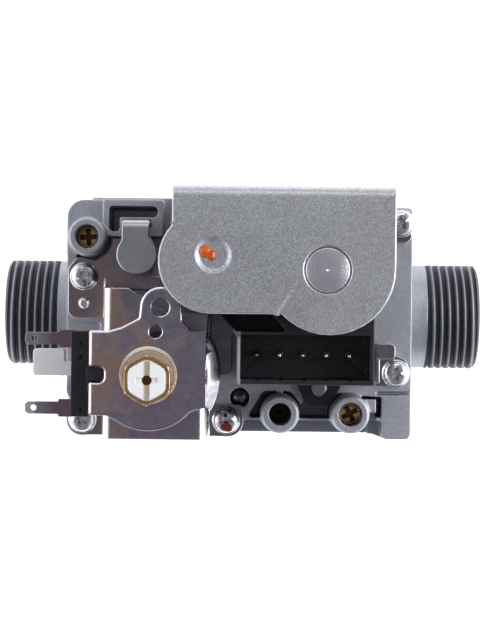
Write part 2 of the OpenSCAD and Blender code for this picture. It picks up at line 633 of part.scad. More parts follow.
module modulator_yoke() color("rosybrown") difference() {
    union() {
        // Top plate with its left wall, bent from one strip
        intersection() {
            translate([0, 30, 0]) rotate([90, 0, 0]) linear_extrude(60)
                polygon(rounded([[-33.5, bracket_z + 0.05, 0], [-33.5, yoke_z, 1], [0, yoke_z, 0],
                                 [0, yoke_z - yoke_t, 0], [-33.5 + yoke_t, yoke_z - yoke_t, 0.2],
                                 [-33.5 + yoke_t, bracket_z + 0.05, 0]]));
            linear_extrude(90) polygon(rounded(yoke_outline));
        }
        // Curved right wall round the winding
        intersection() {
            translate([yoke_centre.x, yoke_centre.y, 0]) rotate_extrude()
                polygon(rounded([[11.6, yoke_z, 0], [11.6, yoke_z - yoke_t, 0],
                                 [12.6, yoke_z - yoke_t, 0.6], [15.7 - yoke_t, yoke_z - yoke_t - 1.3, 0.6],
                                 [15.7 - yoke_t, bracket_z + 0.05, 0], [15.7, bracket_z + 0.05, 0],
                                 [15.7, yoke_z - 1.9, 1], [13, yoke_z, 2]], 5));
            linear_extrude(90)
                polygon([yoke_centre + [4, 0], yoke_centre + [20, -12.5], yoke_centre + [20, 15]]);
        }
    }
    post(yoke_centre, yoke_z - 4, 10, 5.5);
    post(yoke_centre, yoke_z - 0.7, 0.71, 5.5, 6.25);
    post([-17.9, 1.8], yoke_z - 4, 10, 1.9);
    post([-18.9, -3.5], yoke_z - 4, 10, 1.35);
    // Window in the left wall that the terminal block reaches through
    translate([-36, -17, bracket_z - 1]) cube([4.4, 6.5, yoke_z - bracket_z - 2]);
}

// Brass tube that guides the modulator's plunger and carries the adjusting thread
module modulator_core_tube() color("darkgoldenrod") difference() {
    union() {
        post(modulator, deck_z + 7.4, yoke_z - yoke_t - deck_z - 7.42, core_tube_r);
        post(modulator, deck_z + 10, yoke_z - deck_z - 10, 4.2);
        post(yoke_centre, yoke_z - yoke_t + 0.02, 0.9, 5.4);
    }
    post(modulator, deck_z, 40, plunger_r + running_gap);
}

module modulator_plunger() color("slategray") {
    post(modulator, bracket_z + 1, 9, plunger_r);
    post(modulator, deck_z - 0.9, 13, 1.5);
    post(modulator, deck_z - 0.9, 0.85, 4.6);
}

module modulator_spring() color("silver") spring(modulator, bracket_z + 10.1, 5.3, 2.7, 0.35, 4);

module terminal(y) color("silver") difference() {
    union() {
        plate([[-48.8, y - 0.8, 0], [-48.1, y - 1.4, 0], [-41.2, y - 1.4, 0.3], [-41.2, y - 2, 0.3],
               [-37.65, y - 2, 0],
               [-37.65, y + 2, 0], [-41.2, y + 2, 0.3], [-41.2, y + 1.4, 0.3], [-48.1, y + 1.4, 0],
               [-48.8, y + 0.8, 0]], 51.62, 0.78);
        translate([-37.7, y - 1.08, 51.62]) cube([3.6, 2.16, 0.78]);
    }
    post([-46.8, y], 50, 4, 0.65);
}
module terminal_upper() terminal(-5.4);
module terminal_lower() terminal(-21);

module connector_key() color("white") {
    slab([-47, -13.7, 47.6], [-39.9, -7.7, 52.4], 0.7);
    slab([-40.4, -13.7, 47.6], [-36.75, -10.6, 52.4], 0.2);
}

module adjuster_spring_seat() color("silver") ring(modulator, bracket_z + 15.5, 0.8, plunger_r, 1.2);

module max_adjuster_nut() color("goldenrod") difference() {
    union() {
        difference() {
            hexagon(modulator, yoke_z + 0.05, 3.45, nut_af);
            // Bevelled crown
            translate([modulator.x, modulator.y, yoke_z + 2.6]) difference() {
                cylinder(h = 3, r = 8);
                translate([0, 0, -0.01]) cylinder(h = 3.1, r1 = 6.3, r2 = 2.7);
            }
        }
        post(modulator, bracket_z + 16.4, yoke_z - bracket_z - 16.2, plunger_r - 0.05);
    }
    post(modulator, yoke_z + 2.2, 4, 4.2);
    post(modulator, bracket_z + 10, 20, 1.6);
}

module min_adjuster() color("white") difference() {
    union() {
        hexagon(modulator, yoke_z + 3.55, 1, min_af);
        post(modulator, yoke_z + 2.25, 1.4, 4.1);
        post(modulator, bracket_z + 17, yoke_z - bracket_z - 14.7, 1.5);
    }
    translate([modulator.x, modulator.y, 0]) {
        translate([-0.6, -5, yoke_z + 3.8]) cube([1.2, 10, 2]);
        translate([-2.4, -0.6, yoke_z + 4.1]) cube([4.8, 1.2, 2]);
    }
    post(modulator, yoke_z + 1.6, 10, 1.05);
}

// ---- Test points, plugs and guard -------------------------------------------------------

module tap_screw(at) color("goldenrod") difference() {
    union() {
        post(at, tap_bore_z + 1.3, 4.6, tap_screw_r);
        post(at, tap_bore_z + 0.1, 1.3, 1.4);
    }
    translate([at.x, at.y, 0]) cross_recess(tap_bore_z + 5.9, 1.6, 1.9, 0.8);
}
module tap_seal(at) color("black") o_ring(at, tap_bore_z + 0.66, 1.95, 0.5);
module outlet_tap_screw() tap_screw(outlet_tap);
module inlet_tap_screw() tap_screw(inlet_tap);
module outlet_tap_seal() tap_seal(outlet_tap);
module inlet_tap_seal() tap_seal(inlet_tap);

module vent_restrictor() color("saddlebrown") ring(vent_tap, vent_bore_z - 2.45, 2.4, 2.18, 0.5);

module passage_ball() color("slategray") translate([ball_at.x, ball_at.y, deck_z - 2.4]) sphere(2.23);

module pilot_plug() color("black") {
    post(guard_centre, deck_z - 4.9, 4.9, 3.45);
    post(guard_centre, deck_z + bracket_t + 0.05, 3.6, 4);
    post(guard_centre, deck_z - 0.1, 1.5, 3.45);
}

module pilot_plug_guard() color("darkgray") {
    top_z = 46;
    sheet = 1.2;
    intersection() {
        rotate([90, 0, 90]) translate([0, 0, -32]) linear_extrude(16)
            polygon(rounded([[8, top_z, 0], [21.9, top_z, 2], [21.9, deck_z - 5.8, 0],
                             [21.9 - sheet, deck_z - 5.8, 0],
                             [21.9 - sheet, top_z - sheet, 0.8], [8, top_z - sheet, 0]]));
        linear_extrude(90) polygon(rounded(concat(
            [[-27.9, 22.5, 0], [-27.9, 17.9, 0.8]], arc(guard_centre, 4.75, 140, 400, 20),
            [[-21.5, 17.9, 0.8], [-21.5, 22.5, 0]])));
    }
}

body_casting();
base_cover();
base_gasket();
base_screws();
inlet_filter();
ev1_guide_tube();
ev1_plunger();
ev1_valve_disc();
ev1_spring();
ev1_winding();
ev1_flange_seal();
ev2_guide_tube();
ev2_plunger();
ev2_valve_disc();
ev2_spring();
ev2_winding();
ev2_flange_seal();
coil_base_plate();
coil_housing();
coil_cover();
cover_seal_paint();
connector_pins();
connector_rivet();
earth_tab();
earth_screw();
corner_screw();
main_diaphragm();
main_valve();
main_valve_spring();
modulator_bracket();
bracket_screws();
screw_seal_paint();
bracket_locating_pin();
regulator_bonnet();
regulator_diaphragm();
modulator_bobbin();
modulator_winding();
modulator_yoke();
modulator_core_tube();
modulator_plunger();
modulator_spring();
terminal_upper();
terminal_lower();
connector_key();
adjuster_spring_seat();
max_adjuster_nut();
min_adjuster();
outlet_tap_seal();
outlet_tap_screw();
inlet_tap_seal();
inlet_tap_screw();
vent_restrictor();
passage_ball();
pilot_plug();
pilot_plug_guard();
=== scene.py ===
"""Looks of the boiler gas valve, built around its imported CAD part."""

import json
import math

import bmesh
import bpy
from mathutils import Matrix, Vector

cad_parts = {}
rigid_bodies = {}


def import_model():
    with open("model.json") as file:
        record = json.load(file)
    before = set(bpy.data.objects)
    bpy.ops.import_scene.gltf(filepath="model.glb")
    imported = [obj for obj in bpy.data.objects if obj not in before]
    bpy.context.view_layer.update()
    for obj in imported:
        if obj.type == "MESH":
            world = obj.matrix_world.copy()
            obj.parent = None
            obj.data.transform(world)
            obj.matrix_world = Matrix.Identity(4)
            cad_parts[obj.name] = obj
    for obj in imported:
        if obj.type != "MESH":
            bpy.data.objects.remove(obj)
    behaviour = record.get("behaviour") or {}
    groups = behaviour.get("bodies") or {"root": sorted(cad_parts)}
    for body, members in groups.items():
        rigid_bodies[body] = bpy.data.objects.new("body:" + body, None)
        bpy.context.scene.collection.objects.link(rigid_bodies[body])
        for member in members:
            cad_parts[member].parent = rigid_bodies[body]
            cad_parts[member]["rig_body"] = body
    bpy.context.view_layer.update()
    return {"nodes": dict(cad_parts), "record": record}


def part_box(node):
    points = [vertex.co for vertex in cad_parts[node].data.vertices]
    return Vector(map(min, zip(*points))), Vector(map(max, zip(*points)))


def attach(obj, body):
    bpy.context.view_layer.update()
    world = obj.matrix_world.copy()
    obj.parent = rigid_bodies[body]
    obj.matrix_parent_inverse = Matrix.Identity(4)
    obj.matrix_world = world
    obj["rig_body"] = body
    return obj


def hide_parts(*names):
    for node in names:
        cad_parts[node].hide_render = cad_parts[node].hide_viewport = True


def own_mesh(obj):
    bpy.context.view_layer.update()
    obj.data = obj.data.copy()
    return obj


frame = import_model()

MM = 0.001
NODES = frame["nodes"]
ROOT = "valve_body"
# Degrees between two faces from which their edge is sharp
SHARP = 28


# ---- Mesh helpers ---------------------------------------------------------------------


def body_of(node):
    return NODES[node]["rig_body"]


def new_object(name, mesh):
    obj = bpy.data.objects.new(name, mesh)
    bpy.context.scene.collection.objects.link(obj)
    return obj


def object_from_bmesh(name, bm):
    mesh = bpy.data.meshes.new(name)
    bm.normal_update()
    bm.to_mesh(mesh)
    bm.free()
    return new_object(name, mesh)


def cad_bmesh(node):
    """The CAD node's mesh, welded, with its flat faces whole again."""
    bm = bmesh.new()
    bm.from_mesh(NODES[node].data)
    bmesh.ops.remove_doubles(bm, verts=bm.verts, dist=2e-6)
    bmesh.ops.dissolve_limit(bm, angle_limit=math.radians(0.5), verts=bm.verts, edges=bm.edges)
    return bm


def cad_copy(node):
    return object_from_bmesh(node + "_piece", cad_bmesh(node))


def smooth(obj, angle=30):
    for polygon in obj.data.polygons:
        polygon.use_smooth = True
    obj.data.set_sharp_from_angle(angle=math.radians(angle))


def apply_modifiers(obj):
    depsgraph = bpy.context.evaluated_depsgraph_get()
    mesh = bpy.data.meshes.new_from_object(obj.evaluated_get(depsgraph))
    obj.modifiers.clear()
    old = obj.data
    obj.data = mesh
    bpy.data.meshes.remove(old)
    return obj


def boolean(obj, cutter, operation="DIFFERENCE"):
    """Applies a boolean and removes the cutter."""
    modifier = obj.modifiers.new("cut", "BOOLEAN")
    modifier.operation = operation
    modifier.object = cutter
    modifier.solver = "EXACT"
    modifier.use_self = False
    apply_modifiers(obj)
    bpy.data.objects.remove(cutter)
    return obj


def rounded_edges(obj, width):
    """Rounds every sharp edge with a bevel of that width in millimetres."""
    bevel = obj.modifiers.new("edges", "BEVEL")
    bevel.width = width * MM
    bevel.segments = 3
    bevel.limit_method = "ANGLE"
    bevel.angle_limit = math.radians(SHARP)
    bevel.use_clamp_overlap = False
    bevel.miter_outer = "MITER_ARC"
    smooth(obj, SHARP)
    bevel.harden_normals = True
    return bevel


def lathe(name, profile, at=(0, 0, 0), segments=64):
    """Turns a closed profile of (radius, height) millimetre points round a vertical axis."""
    bm = bmesh.new()
    rings = []
    for radius, height in profile:
        if radius < 1e-6:
            vert = bm.verts.new((0, 0, height * MM))
            rings.append([vert] * segments)
            continue
        ring = []
        for i in range(segments):
            a = 2 * math.pi * i / segments
            ring.append(bm.verts.new((radius * MM * math.cos(a), radius * MM * math.sin(a), height * MM)))
        rings.append(ring)
    for low, high in zip(rings, rings[1:] + rings[:1]):
        for i in range(segments):
            j = (i + 1) % segments
            corners = []
            for vert in (low[i], low[j], high[j], high[i]):
                if vert not in corners:
                    corners.append(vert)
            if len(corners) > 2:
                bm.faces.new(corners)
    bmesh.ops.recalc_face_normals(bm, faces=bm.faces)
    bmesh.ops.translate(bm, verts=bm.verts, vec=Vector(at) * MM)
    return object_from_bmesh(name, bm)


def prism(name, outline, low, high):
    """A plate between two heights, from an outline of (x, y) millimetre points."""
    bm = bmesh.new()
    bottom = [bm.verts.new((x * MM, y * MM, low * MM)) for x, y in outline]
    face = bm.faces.new(bottom)
    top = bmesh.ops.extrude_face_region(bm, geom=[face])["geom"]
    verts = [v for v in top if isinstance(v, bmesh.types.BMVert)]
    bmesh.ops.translate(bm, verts=verts, vec=(0, 0, (high - low) * MM))
    bmesh.ops.recalc_face_normals(bm, faces=bm.faces)
    return object_from_bmesh(name, bm)


def block(name, low, high):
    outline = [(low[0], low[1]), (high[0], low[1]), (high[0], high[1]), (low[0], high[1])]
    return prism(name, outline, low[2], high[2])


def cylinder(name, at, low, high, radius):
    return lathe(name, [(0, low), (radius, low), (radius, high), (0, high)], (at[0], at[1], 0), 96)


def turned(obj, turn):
    """Turns the mesh itself about the origin, so that the object stays in the frame."""
    obj.data.transform(turn)
    return obj


def joined(objects):
    """Several objects as one mesh."""
    bm = bmesh.new()
    for obj in objects:
        bm.from_mesh(obj.data)
    first = objects[0]
    bm.to_mesh(first.data)
    bm.free()
    for obj in objects[1:]:
        bpy.data.objects.remove(obj)
    return first


# ---- Materials ------------------------------------------------------------------------


class Surface:
    """A procedural material under construction. Texture sizes are in millimetres."""

    def __init__(self, name, color, metallic=0.0, roughness=0.5):
        self.material = bpy.data.materials.new(name)
        self.material.use_nodes = True
        self.tree = self.material.node_tree
        self.shader = self.tree.nodes["Principled BSDF"]
        self.shader.inputs["Base Color"].default_value = (*color, 1)
        self.shader.inputs["Metallic"].default_value = metallic
        self.shader.inputs["Roughness"].default_value = roughness
        self.material.diffuse_color = (*color, 1)
        coords = self.tree.nodes.new("ShaderNodeTexCoord")
        scale = self.tree.nodes.new("ShaderNodeVectorMath")
        scale.operation = "SCALE"
        scale.inputs["Scale"].default_value = 1000.0
        self.link(coords.outputs["Object"], scale.inputs[0])
        self.place = scale.outputs[0]
        self.height = None

    def link(self, source, target):
        self.tree.links.new(source, target)

    def set(self, socket, value):
        self.shader.inputs[socket].default_value = value

    def scaled(self, scale):
        """The place, stretched along its three axes."""
        node = self.tree.nodes.new("ShaderNodeMapping")
        node.vector_type = "POINT"
        node.inputs["Scale"].default_value = scale
        self.link(self.place, node.inputs["Vector"])
        return node.outputs["Vector"]

    def noise(self, size, detail=2.0, roughness=0.5, vector=None, distortion=0.0):
        node = self.tree.nodes.new("ShaderNodeTexNoise")
        node.inputs["Scale"].default_value = 1.0 / size
        node.inputs["Detail"].default_value = detail
        node.inputs["Roughness"].default_value = roughness
        node.inputs["Distortion"].default_value = distortion
        self.link(vector or self.place, node.inputs["Vector"])
        return node.outputs["Fac"]

    def cells(self, size, output="Distance"):
        node = self.tree.nodes.new("ShaderNodeTexVoronoi")
        node.inputs["Scale"].default_value = 1.0 / size
        self.link(self.place, node.inputs["Vector"])
        return node.outputs[output]

    def ramp(self, value, stops):
        node = self.tree.nodes.new("ShaderNodeValToRGB")
        elements = node.color_ramp.elements
        while len(elements) < len(stops):
            elements.new(0.5)
        for element, (position, color) in zip(elements, stops):
            element.position = position
            element.color = (*color, 1)
        self.link(value, node.inputs["Fac"])
        return node.outputs["Color"]

    def mix(self, amount, first, second, blend="MIX"):
        node = self.tree.nodes.new("ShaderNodeMix")
        node.data_type = "RGBA"
        node.blend_type = blend
        for socket, value in ((0, amount), (6, first), (7, second)):
            self.feed(value, node.inputs[socket])
        return node.outputs[2]

    def feed(self, value, socket):
        if isinstance(value, bpy.types.NodeSocket):
            self.link(value, socket)
        elif isinstance(value, tuple):
            socket.default_value = (*value, 1)
        else:
            socket.default_value = value

    def math(self, operation, first, second=0.0):
        node = self.tree.nodes.new("ShaderNodeMath")
        node.operation = operation
        self.feed(first, node.inputs[0])
        self.feed(second, node.inputs[1])
        return node.outputs[0]

    def between(self, value, low, high, to_low=0.0, to_high=1.0):
        node = self.tree.nodes.new("ShaderNodeMapRange")
        self.link(value, node.inputs["Value"])
        limits = {"From Min": low, "From Max": high, "To Min": to_low, "To Max": to_high}
        for name, number in limits.items():
            node.inputs[name].default_value = number
        return node.outputs["Result"]

    def color(self, value):
        self.link(value, self.shader.inputs["Base Color"])

    def rough(self, value):
        self.link(value, self.shader.inputs["Roughness"])

    def bump(self, height, depth, strength=1.0):
        """Adds relief of that depth in millimetres."""
        node = self.tree.nodes.new("ShaderNodeBump")
        node.inputs["Strength"].default_value = strength
        node.inputs["Distance"].default_value = depth * MM
        self.link(height, node.inputs["Height"])
        if self.height is not None:
            self.link(self.height, node.inputs["Normal"])
        self.height = node.outputs["Normal"]
        self.link(self.height, self.shader.inputs["Normal"])

    def axes(self):
        """The place's three coordinates, in millimetres."""
        node = self.tree.nodes.new("ShaderNodeSeparateXYZ")
        self.link(self.place, node.inputs[0])
        return node.outputs

    def window(self, value, centre, half):
        """1 where the value is within half of the centre, and 0 elsewhere."""
        return self.math("LESS_THAN", self.math("ABSOLUTE", self.math("SUBTRACT", value, centre)), half)

    def distance(self, first, second, first_centre, second_centre):
        """Distance from an axis, from two coordinates and where the axis stands on them."""
        a = self.math("SUBTRACT", first, first_centre)
        b = self.math("SUBTRACT", second, second_centre)
        return self.math("SQRT", self.math("ADD", self.math("MULTIPLY", a, a), self.math("MULTIPLY", b, b)))

    def normal(self):
        """The way the surface faces, along the three axes."""
        coords = self.tree.nodes.new("ShaderNodeTexCoord")
        node = self.tree.nodes.new("ShaderNodeSeparateXYZ")
        self.link(coords.outputs["Normal"], node.inputs[0])
        return node.outputs

    def leaning(self, low=0.86, high=0.97):
        """1 on rounded edges, slopes and walls, 0 on level faces."""
        return self.between(self.math("ABSOLUTE", self.normal()[2]), low, high, 1.0, 0.0)

    def source(self, socket):
        """What is linked into one of the shader's sockets."""
        return self.shader.inputs[socket].links[0].from_socket

    def both(self, *amounts):
        """The product of several amounts."""
        total = amounts[0]
        for amount in amounts[1:]:
            total = self.math("MULTIPLY", total, amount)
        return total


def cast_alloy(name="cast_alloy", tone=1.0):
    """Die-cast alloy with a fine grain. Painted shade darkens the threads' grooves and the low front."""
    s = Surface(name, (0.48 * tone, 0.488 * tone, 0.525 * tone), metallic=0.8, roughness=0.5)
    grain = s.cells(0.21, "Color")
    fine = s.noise(0.4, 4.0, 0.65)
    dark = (0.44 * tone, 0.45 * tone, 0.49 * tone)
    light = (0.53 * tone, 0.54 * tone, 0.575 * tone)
    color = s.ramp(s.noise(11.0, 3.0), [(0.3, dark), (0.72, light)])
    speckle = s.ramp(s.math("ADD", s.math("MULTIPLY", grain, 0.5), s.math("MULTIPLY", fine, 0.5)),
                     [(0.25, (0.80, 0.80, 0.81)), (0.53, (0.97, 0.97, 0.97)), (0.8, (1.18, 1.18, 1.19))])
    color = s.mix(1.0, color, speckle, "MULTIPLY")
    x, y, z = s.axes()
    # Painted shade: the threaded ends darkened in their grooves, and a little on the crests
    ends = s.math("GREATER_THAN", s.math("ABSOLUTE", x), half_length - THREAD_LENGTH - 0.1)
    groove_shade = s.between(s.distance(y, z, AXIS_Y, AXIS_Z), CREST_R - 0.7, CREST_R - 0.05, 0.88, 0.3)
    color = s.mix(s.both(ends, groove_shade), color, (0.055, 0.056, 0.07))
    # Painted shade on the front of the casting below the deck, weaker near the bottom
    front = s.both(s.between(y, -17.0, -15.0, 1.0, 0.0), s.between(z, 34.0, 36.5, 0.55, 0.0),
                   s.between(z, 12.0, 20.0, 0.3, 1.0))
    s.color(s.mix(front, color, (0.12, 0.12, 0.14)))
    s.rough(s.between(fine, 0.3, 0.7, 0.42, 0.56))
    s.bump(s.noise(3.0, 2.0), 0.05, 0.5)
    s.bump(grain, 0.02, 0.6)
    s.bump(s.noise(0.14, 2.0), 0.01, 0.6)
    return s.material


def cover_steel():
    s = Surface("cover_steel", (0.56, 0.57, 0.585), metallic=0.95, roughness=0.42)
    grain = s.cells(0.21, "Color")
    fine = s.noise(0.27, 3.0, 0.6)
    base = s.ramp(s.noise(16.0, 2.0), [(0.3, (0.53, 0.535, 0.55)), (0.7, (0.59, 0.60, 0.615))])
    speckle = s.ramp(s.math("ADD", s.math("MULTIPLY", grain, 0.6), s.math("MULTIPLY", fine, 0.4)),
                     [(0.22, (0.74, 0.74, 0.75)), (0.5, (0.96, 0.96, 0.96)), (0.78, (1.34, 1.34, 1.35))])
    s.color(s.mix(1.0, base, speckle, "MULTIPLY"))
    s.rough(s.between(fine, 0.3, 0.7, 0.34, 0.46))
    s.bump(grain, 0.02, 0.7)
    s.bump(s.noise(0.15, 2.0), 0.008, 0.5)
    return s.material


def zinc_steel():
    """Passivated zinc mottled from warm brown to dark violet, darker towards the right partly as painted
    reflection, with painted highlights on edges and slopes and painted shade on the yoke's front edges and
    the low parts.
    """
    s = Surface("zinc_steel", (0.50, 0.44, 0.47), metallic=1.0, roughness=0.26)
    x, y, z = s.axes()
    # Mottled zinc coat with painted reflection: the colour runs darker and more violet towards the right
    film_and_reflection = s.math("ADD", s.noise(7.0, 3.0, 0.55, distortion=0.8), s.between(x, -32.0, -8.0, -0.1, 0.12))
    color = s.ramp(film_and_reflection, [(0.30, (0.62, 0.43, 0.33)), (0.42, (0.56, 0.43, 0.42)), (0.52, (0.46, 0.38, 0.44)),
                          (0.62, (0.36, 0.32, 0.40)), (0.74, (0.40, 0.39, 0.42))])
    speckle = s.ramp(s.noise(0.45, 5.0, 0.7), [(0.3, (0.82, 0.82, 0.83)), (0.7, (1.14, 1.14, 1.14))])
    color = s.mix(1.0, color, speckle, "MULTIPLY")
    # Painted shade: the parts below 50 mm darkened, most of all below 40 mm
    color = s.mix(s.between(z, 40.0, 50.0, 0.42, 0.0), color, (0.10, 0.09, 0.115))
    # Edges and slopes: a painted highlight in pale colour, with painted shade on the yoke's front-facing
    # edges, a mottled grey on its curved right wall, orange on its left fold
    bend = s.both(s.math("GREATER_THAN", x, -8.4), s.math("GREATER_THAN", z, 49.0))
    dull = s.ramp(s.noise(1.6, 3.0), [(0.35, (0.44, 0.45, 0.47)), (0.6, (0.66, 0.67, 0.69))])
    front = s.between(s.normal()[1], -0.3, -0.1, 1.0, 0.0)
    edge = s.mix(s.both(front, s.math("GREATER_THAN", z, 62.0)), (0.90, 0.885, 0.87), (0.22, 0.20, 0.22))
    edge = s.mix(bend, edge, dull)
    color = s.mix(s.math("MULTIPLY", s.leaning(), 0.85), color, edge)
    fold = s.both(s.math("LESS_THAN", x, -33.3), s.math("GREATER_THAN", z, 52.0))
    color = s.mix(s.math("MULTIPLY", fold, 0.9), color, (0.85, 0.36, 0.13))
    # The countersink of the yoke's big hole: a painted highlight, pale and less metallic
    inside = s.math("LESS_THAN", s.distance(x, y, *YOKE_CENTRE), COUNTERSINK_R + 0.35)
    ring = s.both(inside, s.between(z, 65.1, 65.3), s.leaning(0.93, 0.99))
    s.color(s.mix(ring, color, (0.97, 0.97, 0.96)))
    s.link(s.math("SUBTRACT", 1.0, s.math("MULTIPLY", ring, 0.85)), s.shader.inputs["Metallic"])
    patches = s.between(s.noise(1.4, 4.0, 0.6), 0.3, 0.7, 0.2, 0.28)
    s.rough(s.math("ADD", patches, s.between(film_and_reflection, 0.3, 0.7, 0.0, 0.06)))
    s.bump(s.noise(9.0, 2.0), 0.05, 0.35)
    s.bump(s.noise(0.6, 3.0, 0.6), 0.006, 0.5)
    return s.material


def zinc_screws():
    s = Surface("zinc_screws", (0.78, 0.79, 0.80), metallic=1.0, roughness=0.2)
    s.color(s.ramp(s.noise(1.6, 4.0, 0.6), [(0.3, (0.66, 0.67, 0.69)), (0.7, (0.86, 0.86, 0.87))]))
    s.rough(s.between(s.noise(0.7, 3.0), 0.3, 0.7, 0.12, 0.26))
    s.bump(s.noise(0.4, 3.0), 0.008, 0.5)
    return s.material


def turned_steel(name, centre, color, tone):
    """Steel faced on a lathe: fine rings, which spread the light across them."""
    s = Surface(name, color, metallic=1.0, roughness=0.24)
    x, y, _ = s.axes()
    radius = s.distance(x, y, *centre)
    fine = s.math("SINE", s.math("MULTIPLY", radius, 2 * math.pi / 0.16))
    bands = s.noise(1.0, 3.0, 0.7, s.scaled((0.12, 0.12, 0.12)))
    steps = s.math("SINE", s.math("MULTIPLY", radius, 2 * math.pi / 0.9))
    mark = s.between(s.math("ADD", steps, s.math("MULTIPLY", fine, 0.6)), -1.6, 1.6, 0.1, 0.9)
    s.color(s.mix(mark, color, tone))
    s.rough(s.between(bands, 0.3, 0.7, 0.2, 0.3))
    s.bump(fine, 0.004, 0.8)
    s.bump(steps, 0.004, 0.4)
    s.bump(s.noise(0.2, 2.0), 0.003, 0.4)
    return s.material


def metal_surface(name, dark, light, size, rough, marks, depth=0.006):
    """Plain drawn or turned metal: soft patches, uneven gloss and fine marks."""
    s = Surface(name, light, metallic=1.0, roughness=rough[0])
    s.color(s.ramp(s.noise(size, 4.0, 0.6), [(0.3, dark), (0.7, light)]))
    s.rough(s.between(s.noise(size * 0.5, 3.0), 0.3, 0.7, *rough))
    s.bump(s.noise(1.0, 3.0, 0.6, s.scaled(marks)), depth)
    return s


def metal(*finish):
    return metal_surface(*finish).material


def tab_metal(name, tip):
    """Tinned brass, with its own colour at the tip, darker and browner near the moulding."""
    s = Surface(name, (0.45, 0.41, 0.43), metallic=1.0, roughness=0.28)
    x, _, _ = s.axes()
    place = s.math("ADD", s.between(x, -49.0, -41.0), s.math("MULTIPLY", s.noise(2.2, 3.0), 0.35))
    s.color(s.ramp(place, [(0.25, tip), (0.55, (0.50, 0.47, 0.50)), (0.95, (0.33, 0.25, 0.27)),
                           (1.0, (0.30, 0.22, 0.24))]))
    s.rough(s.between(s.noise(0.8, 3.0), 0.3, 0.7, 0.22, 0.34))
    s.bump(s.noise(1.1, 2.0), 0.006, 0.5)
    return s.material


def copper_wire():
    s = metal_surface("copper_wire", (0.33, 0.11, 0.045), (0.50, 0.21, 0.09), 1.2, (0.24, 0.4), (3, 3, 3))
    s.set("Coat Weight", 0.5)
    s.set("Coat Roughness", 0.15)
    return s.material


def tinned_pins():
    """Tinned brass with painted highlights: the tips are made white, the middle pin's tip shows bare brass,
    the first one's tip is darker.
    """
    finish = ((0.46, 0.41, 0.42), (0.62, 0.56, 0.55), 2.4, (0.24, 0.36), (2.5, 2.5, 2.5))
    s = metal_surface("tinned_pins", *finish)
    x, _, z = s.axes()
    tip = s.math("GREATER_THAN", z, 53.0)
    middle = s.window(x, FIRST_PIN_X + 2 * PIN_PITCH, 1.2)
    # Painted highlight: the pins' tips whitened
    color = s.mix(s.math("MULTIPLY", tip, 0.8), s.source("Base Color"), (1.0, 1.0, 1.0))
    color = s.mix(s.both(tip, middle), color, (0.95, 0.58, 0.20))
    s.color(s.mix(s.both(tip, s.window(x, FIRST_PIN_X, 1.2)), color, (0.20, 0.20, 0.22)))
    return s.material


def moulded_black():
    """Black nylon, with a painted highlight on the top of the connector's left wall."""
    color = (0.0098, 0.0096, 0.0128)
    light = tuple(part * 1.8 for part in color)
    s = Surface("black_nylon", color, roughness=0.45)
    base = s.ramp(s.noise(2.2, 4.0, 0.6), [(0.3, color), (0.75, light)])
    x, y, z = s.axes()
    # Painted highlight along the top of the connector's left wall
    wall_top_highlight = s.both(s.math("GREATER_THAN", z, CONNECTOR_TOP - 0.25), s.window(x, connector_left, 0.8),
                      s.between(y, -4.8, -4.2, 1.0, 0.35))
    s.color(s.mix(wall_top_highlight, base, (0.30, 0.305, 0.33)))
    s.rough(s.between(s.noise(0.9, 3.0), 0.3, 0.7, 0.36, 0.52))
    s.set("Specular IOR Level", 0.4)
    s.bump(s.noise(0.16, 3.0, 0.6), 0.01, 0.7)
    s.bump(s.noise(5.0, 1.0), 0.05, 0.4)
    return s.material


def rubber():
    s = Surface("gasket_rubber", (0.018, 0.018, 0.019), roughness=0.6)
    s.color(s.ramp(s.noise(1.5, 4.0), [(0.3, (0.012, 0.012, 0.013)), (0.75, (0.032, 0.032, 0.034))]))
    s.rough(s.between(s.noise(0.6, 2.0), 0.3, 0.7, 0.5, 0.7))
    s.bump(s.noise(0.25, 3.0), 0.01)
    return s.material


def white_nylon():
    """White nylon; the adjusting screw's slot and hole let the brass under it through."""
    s = Surface("white_nylon", (0.93, 0.93, 0.925), roughness=0.38)
    base = s.ramp(s.noise(1.8, 3.0), [(0.3, (0.92, 0.918, 0.91)), (0.7, (0.97, 0.968, 0.962))])
    x, y, z = s.axes()
    slot = s.both(s.window(x, NUT_AXIS[0], 0.78), s.window(y, NUT_AXIS[1], 5.0))
    cross = s.both(s.window(y, NUT_AXIS[1], 0.62), s.window(x, NUT_AXIS[0], 2.4))
    hole = s.math("LESS_THAN", s.distance(x, y, *NUT_AXIS), 1.1)
    low = s.math("LESS_THAN", z, 70.3)
    color = s.mix(s.math("MULTIPLY", cross, 0.25), base, (0.80, 0.72, 0.50))
    color = s.mix(s.math("MULTIPLY", slot, 0.75), color, (0.60, 0.53, 0.38))
    s.color(s.mix(s.both(hole, low), color, (0.42, 0.23, 0.08)))
    s.rough(s.between(s.noise(0.7, 2.0), 0.3, 0.7, 0.32, 0.46))
    s.bump(s.noise(0.3, 2.0), 0.006)
    s.set("Subsurface Weight", 0.2)
    s.set("Subsurface Radius", (0.6, 0.55, 0.5))
    s.set("Subsurface Scale", 0.001)
    return s.material


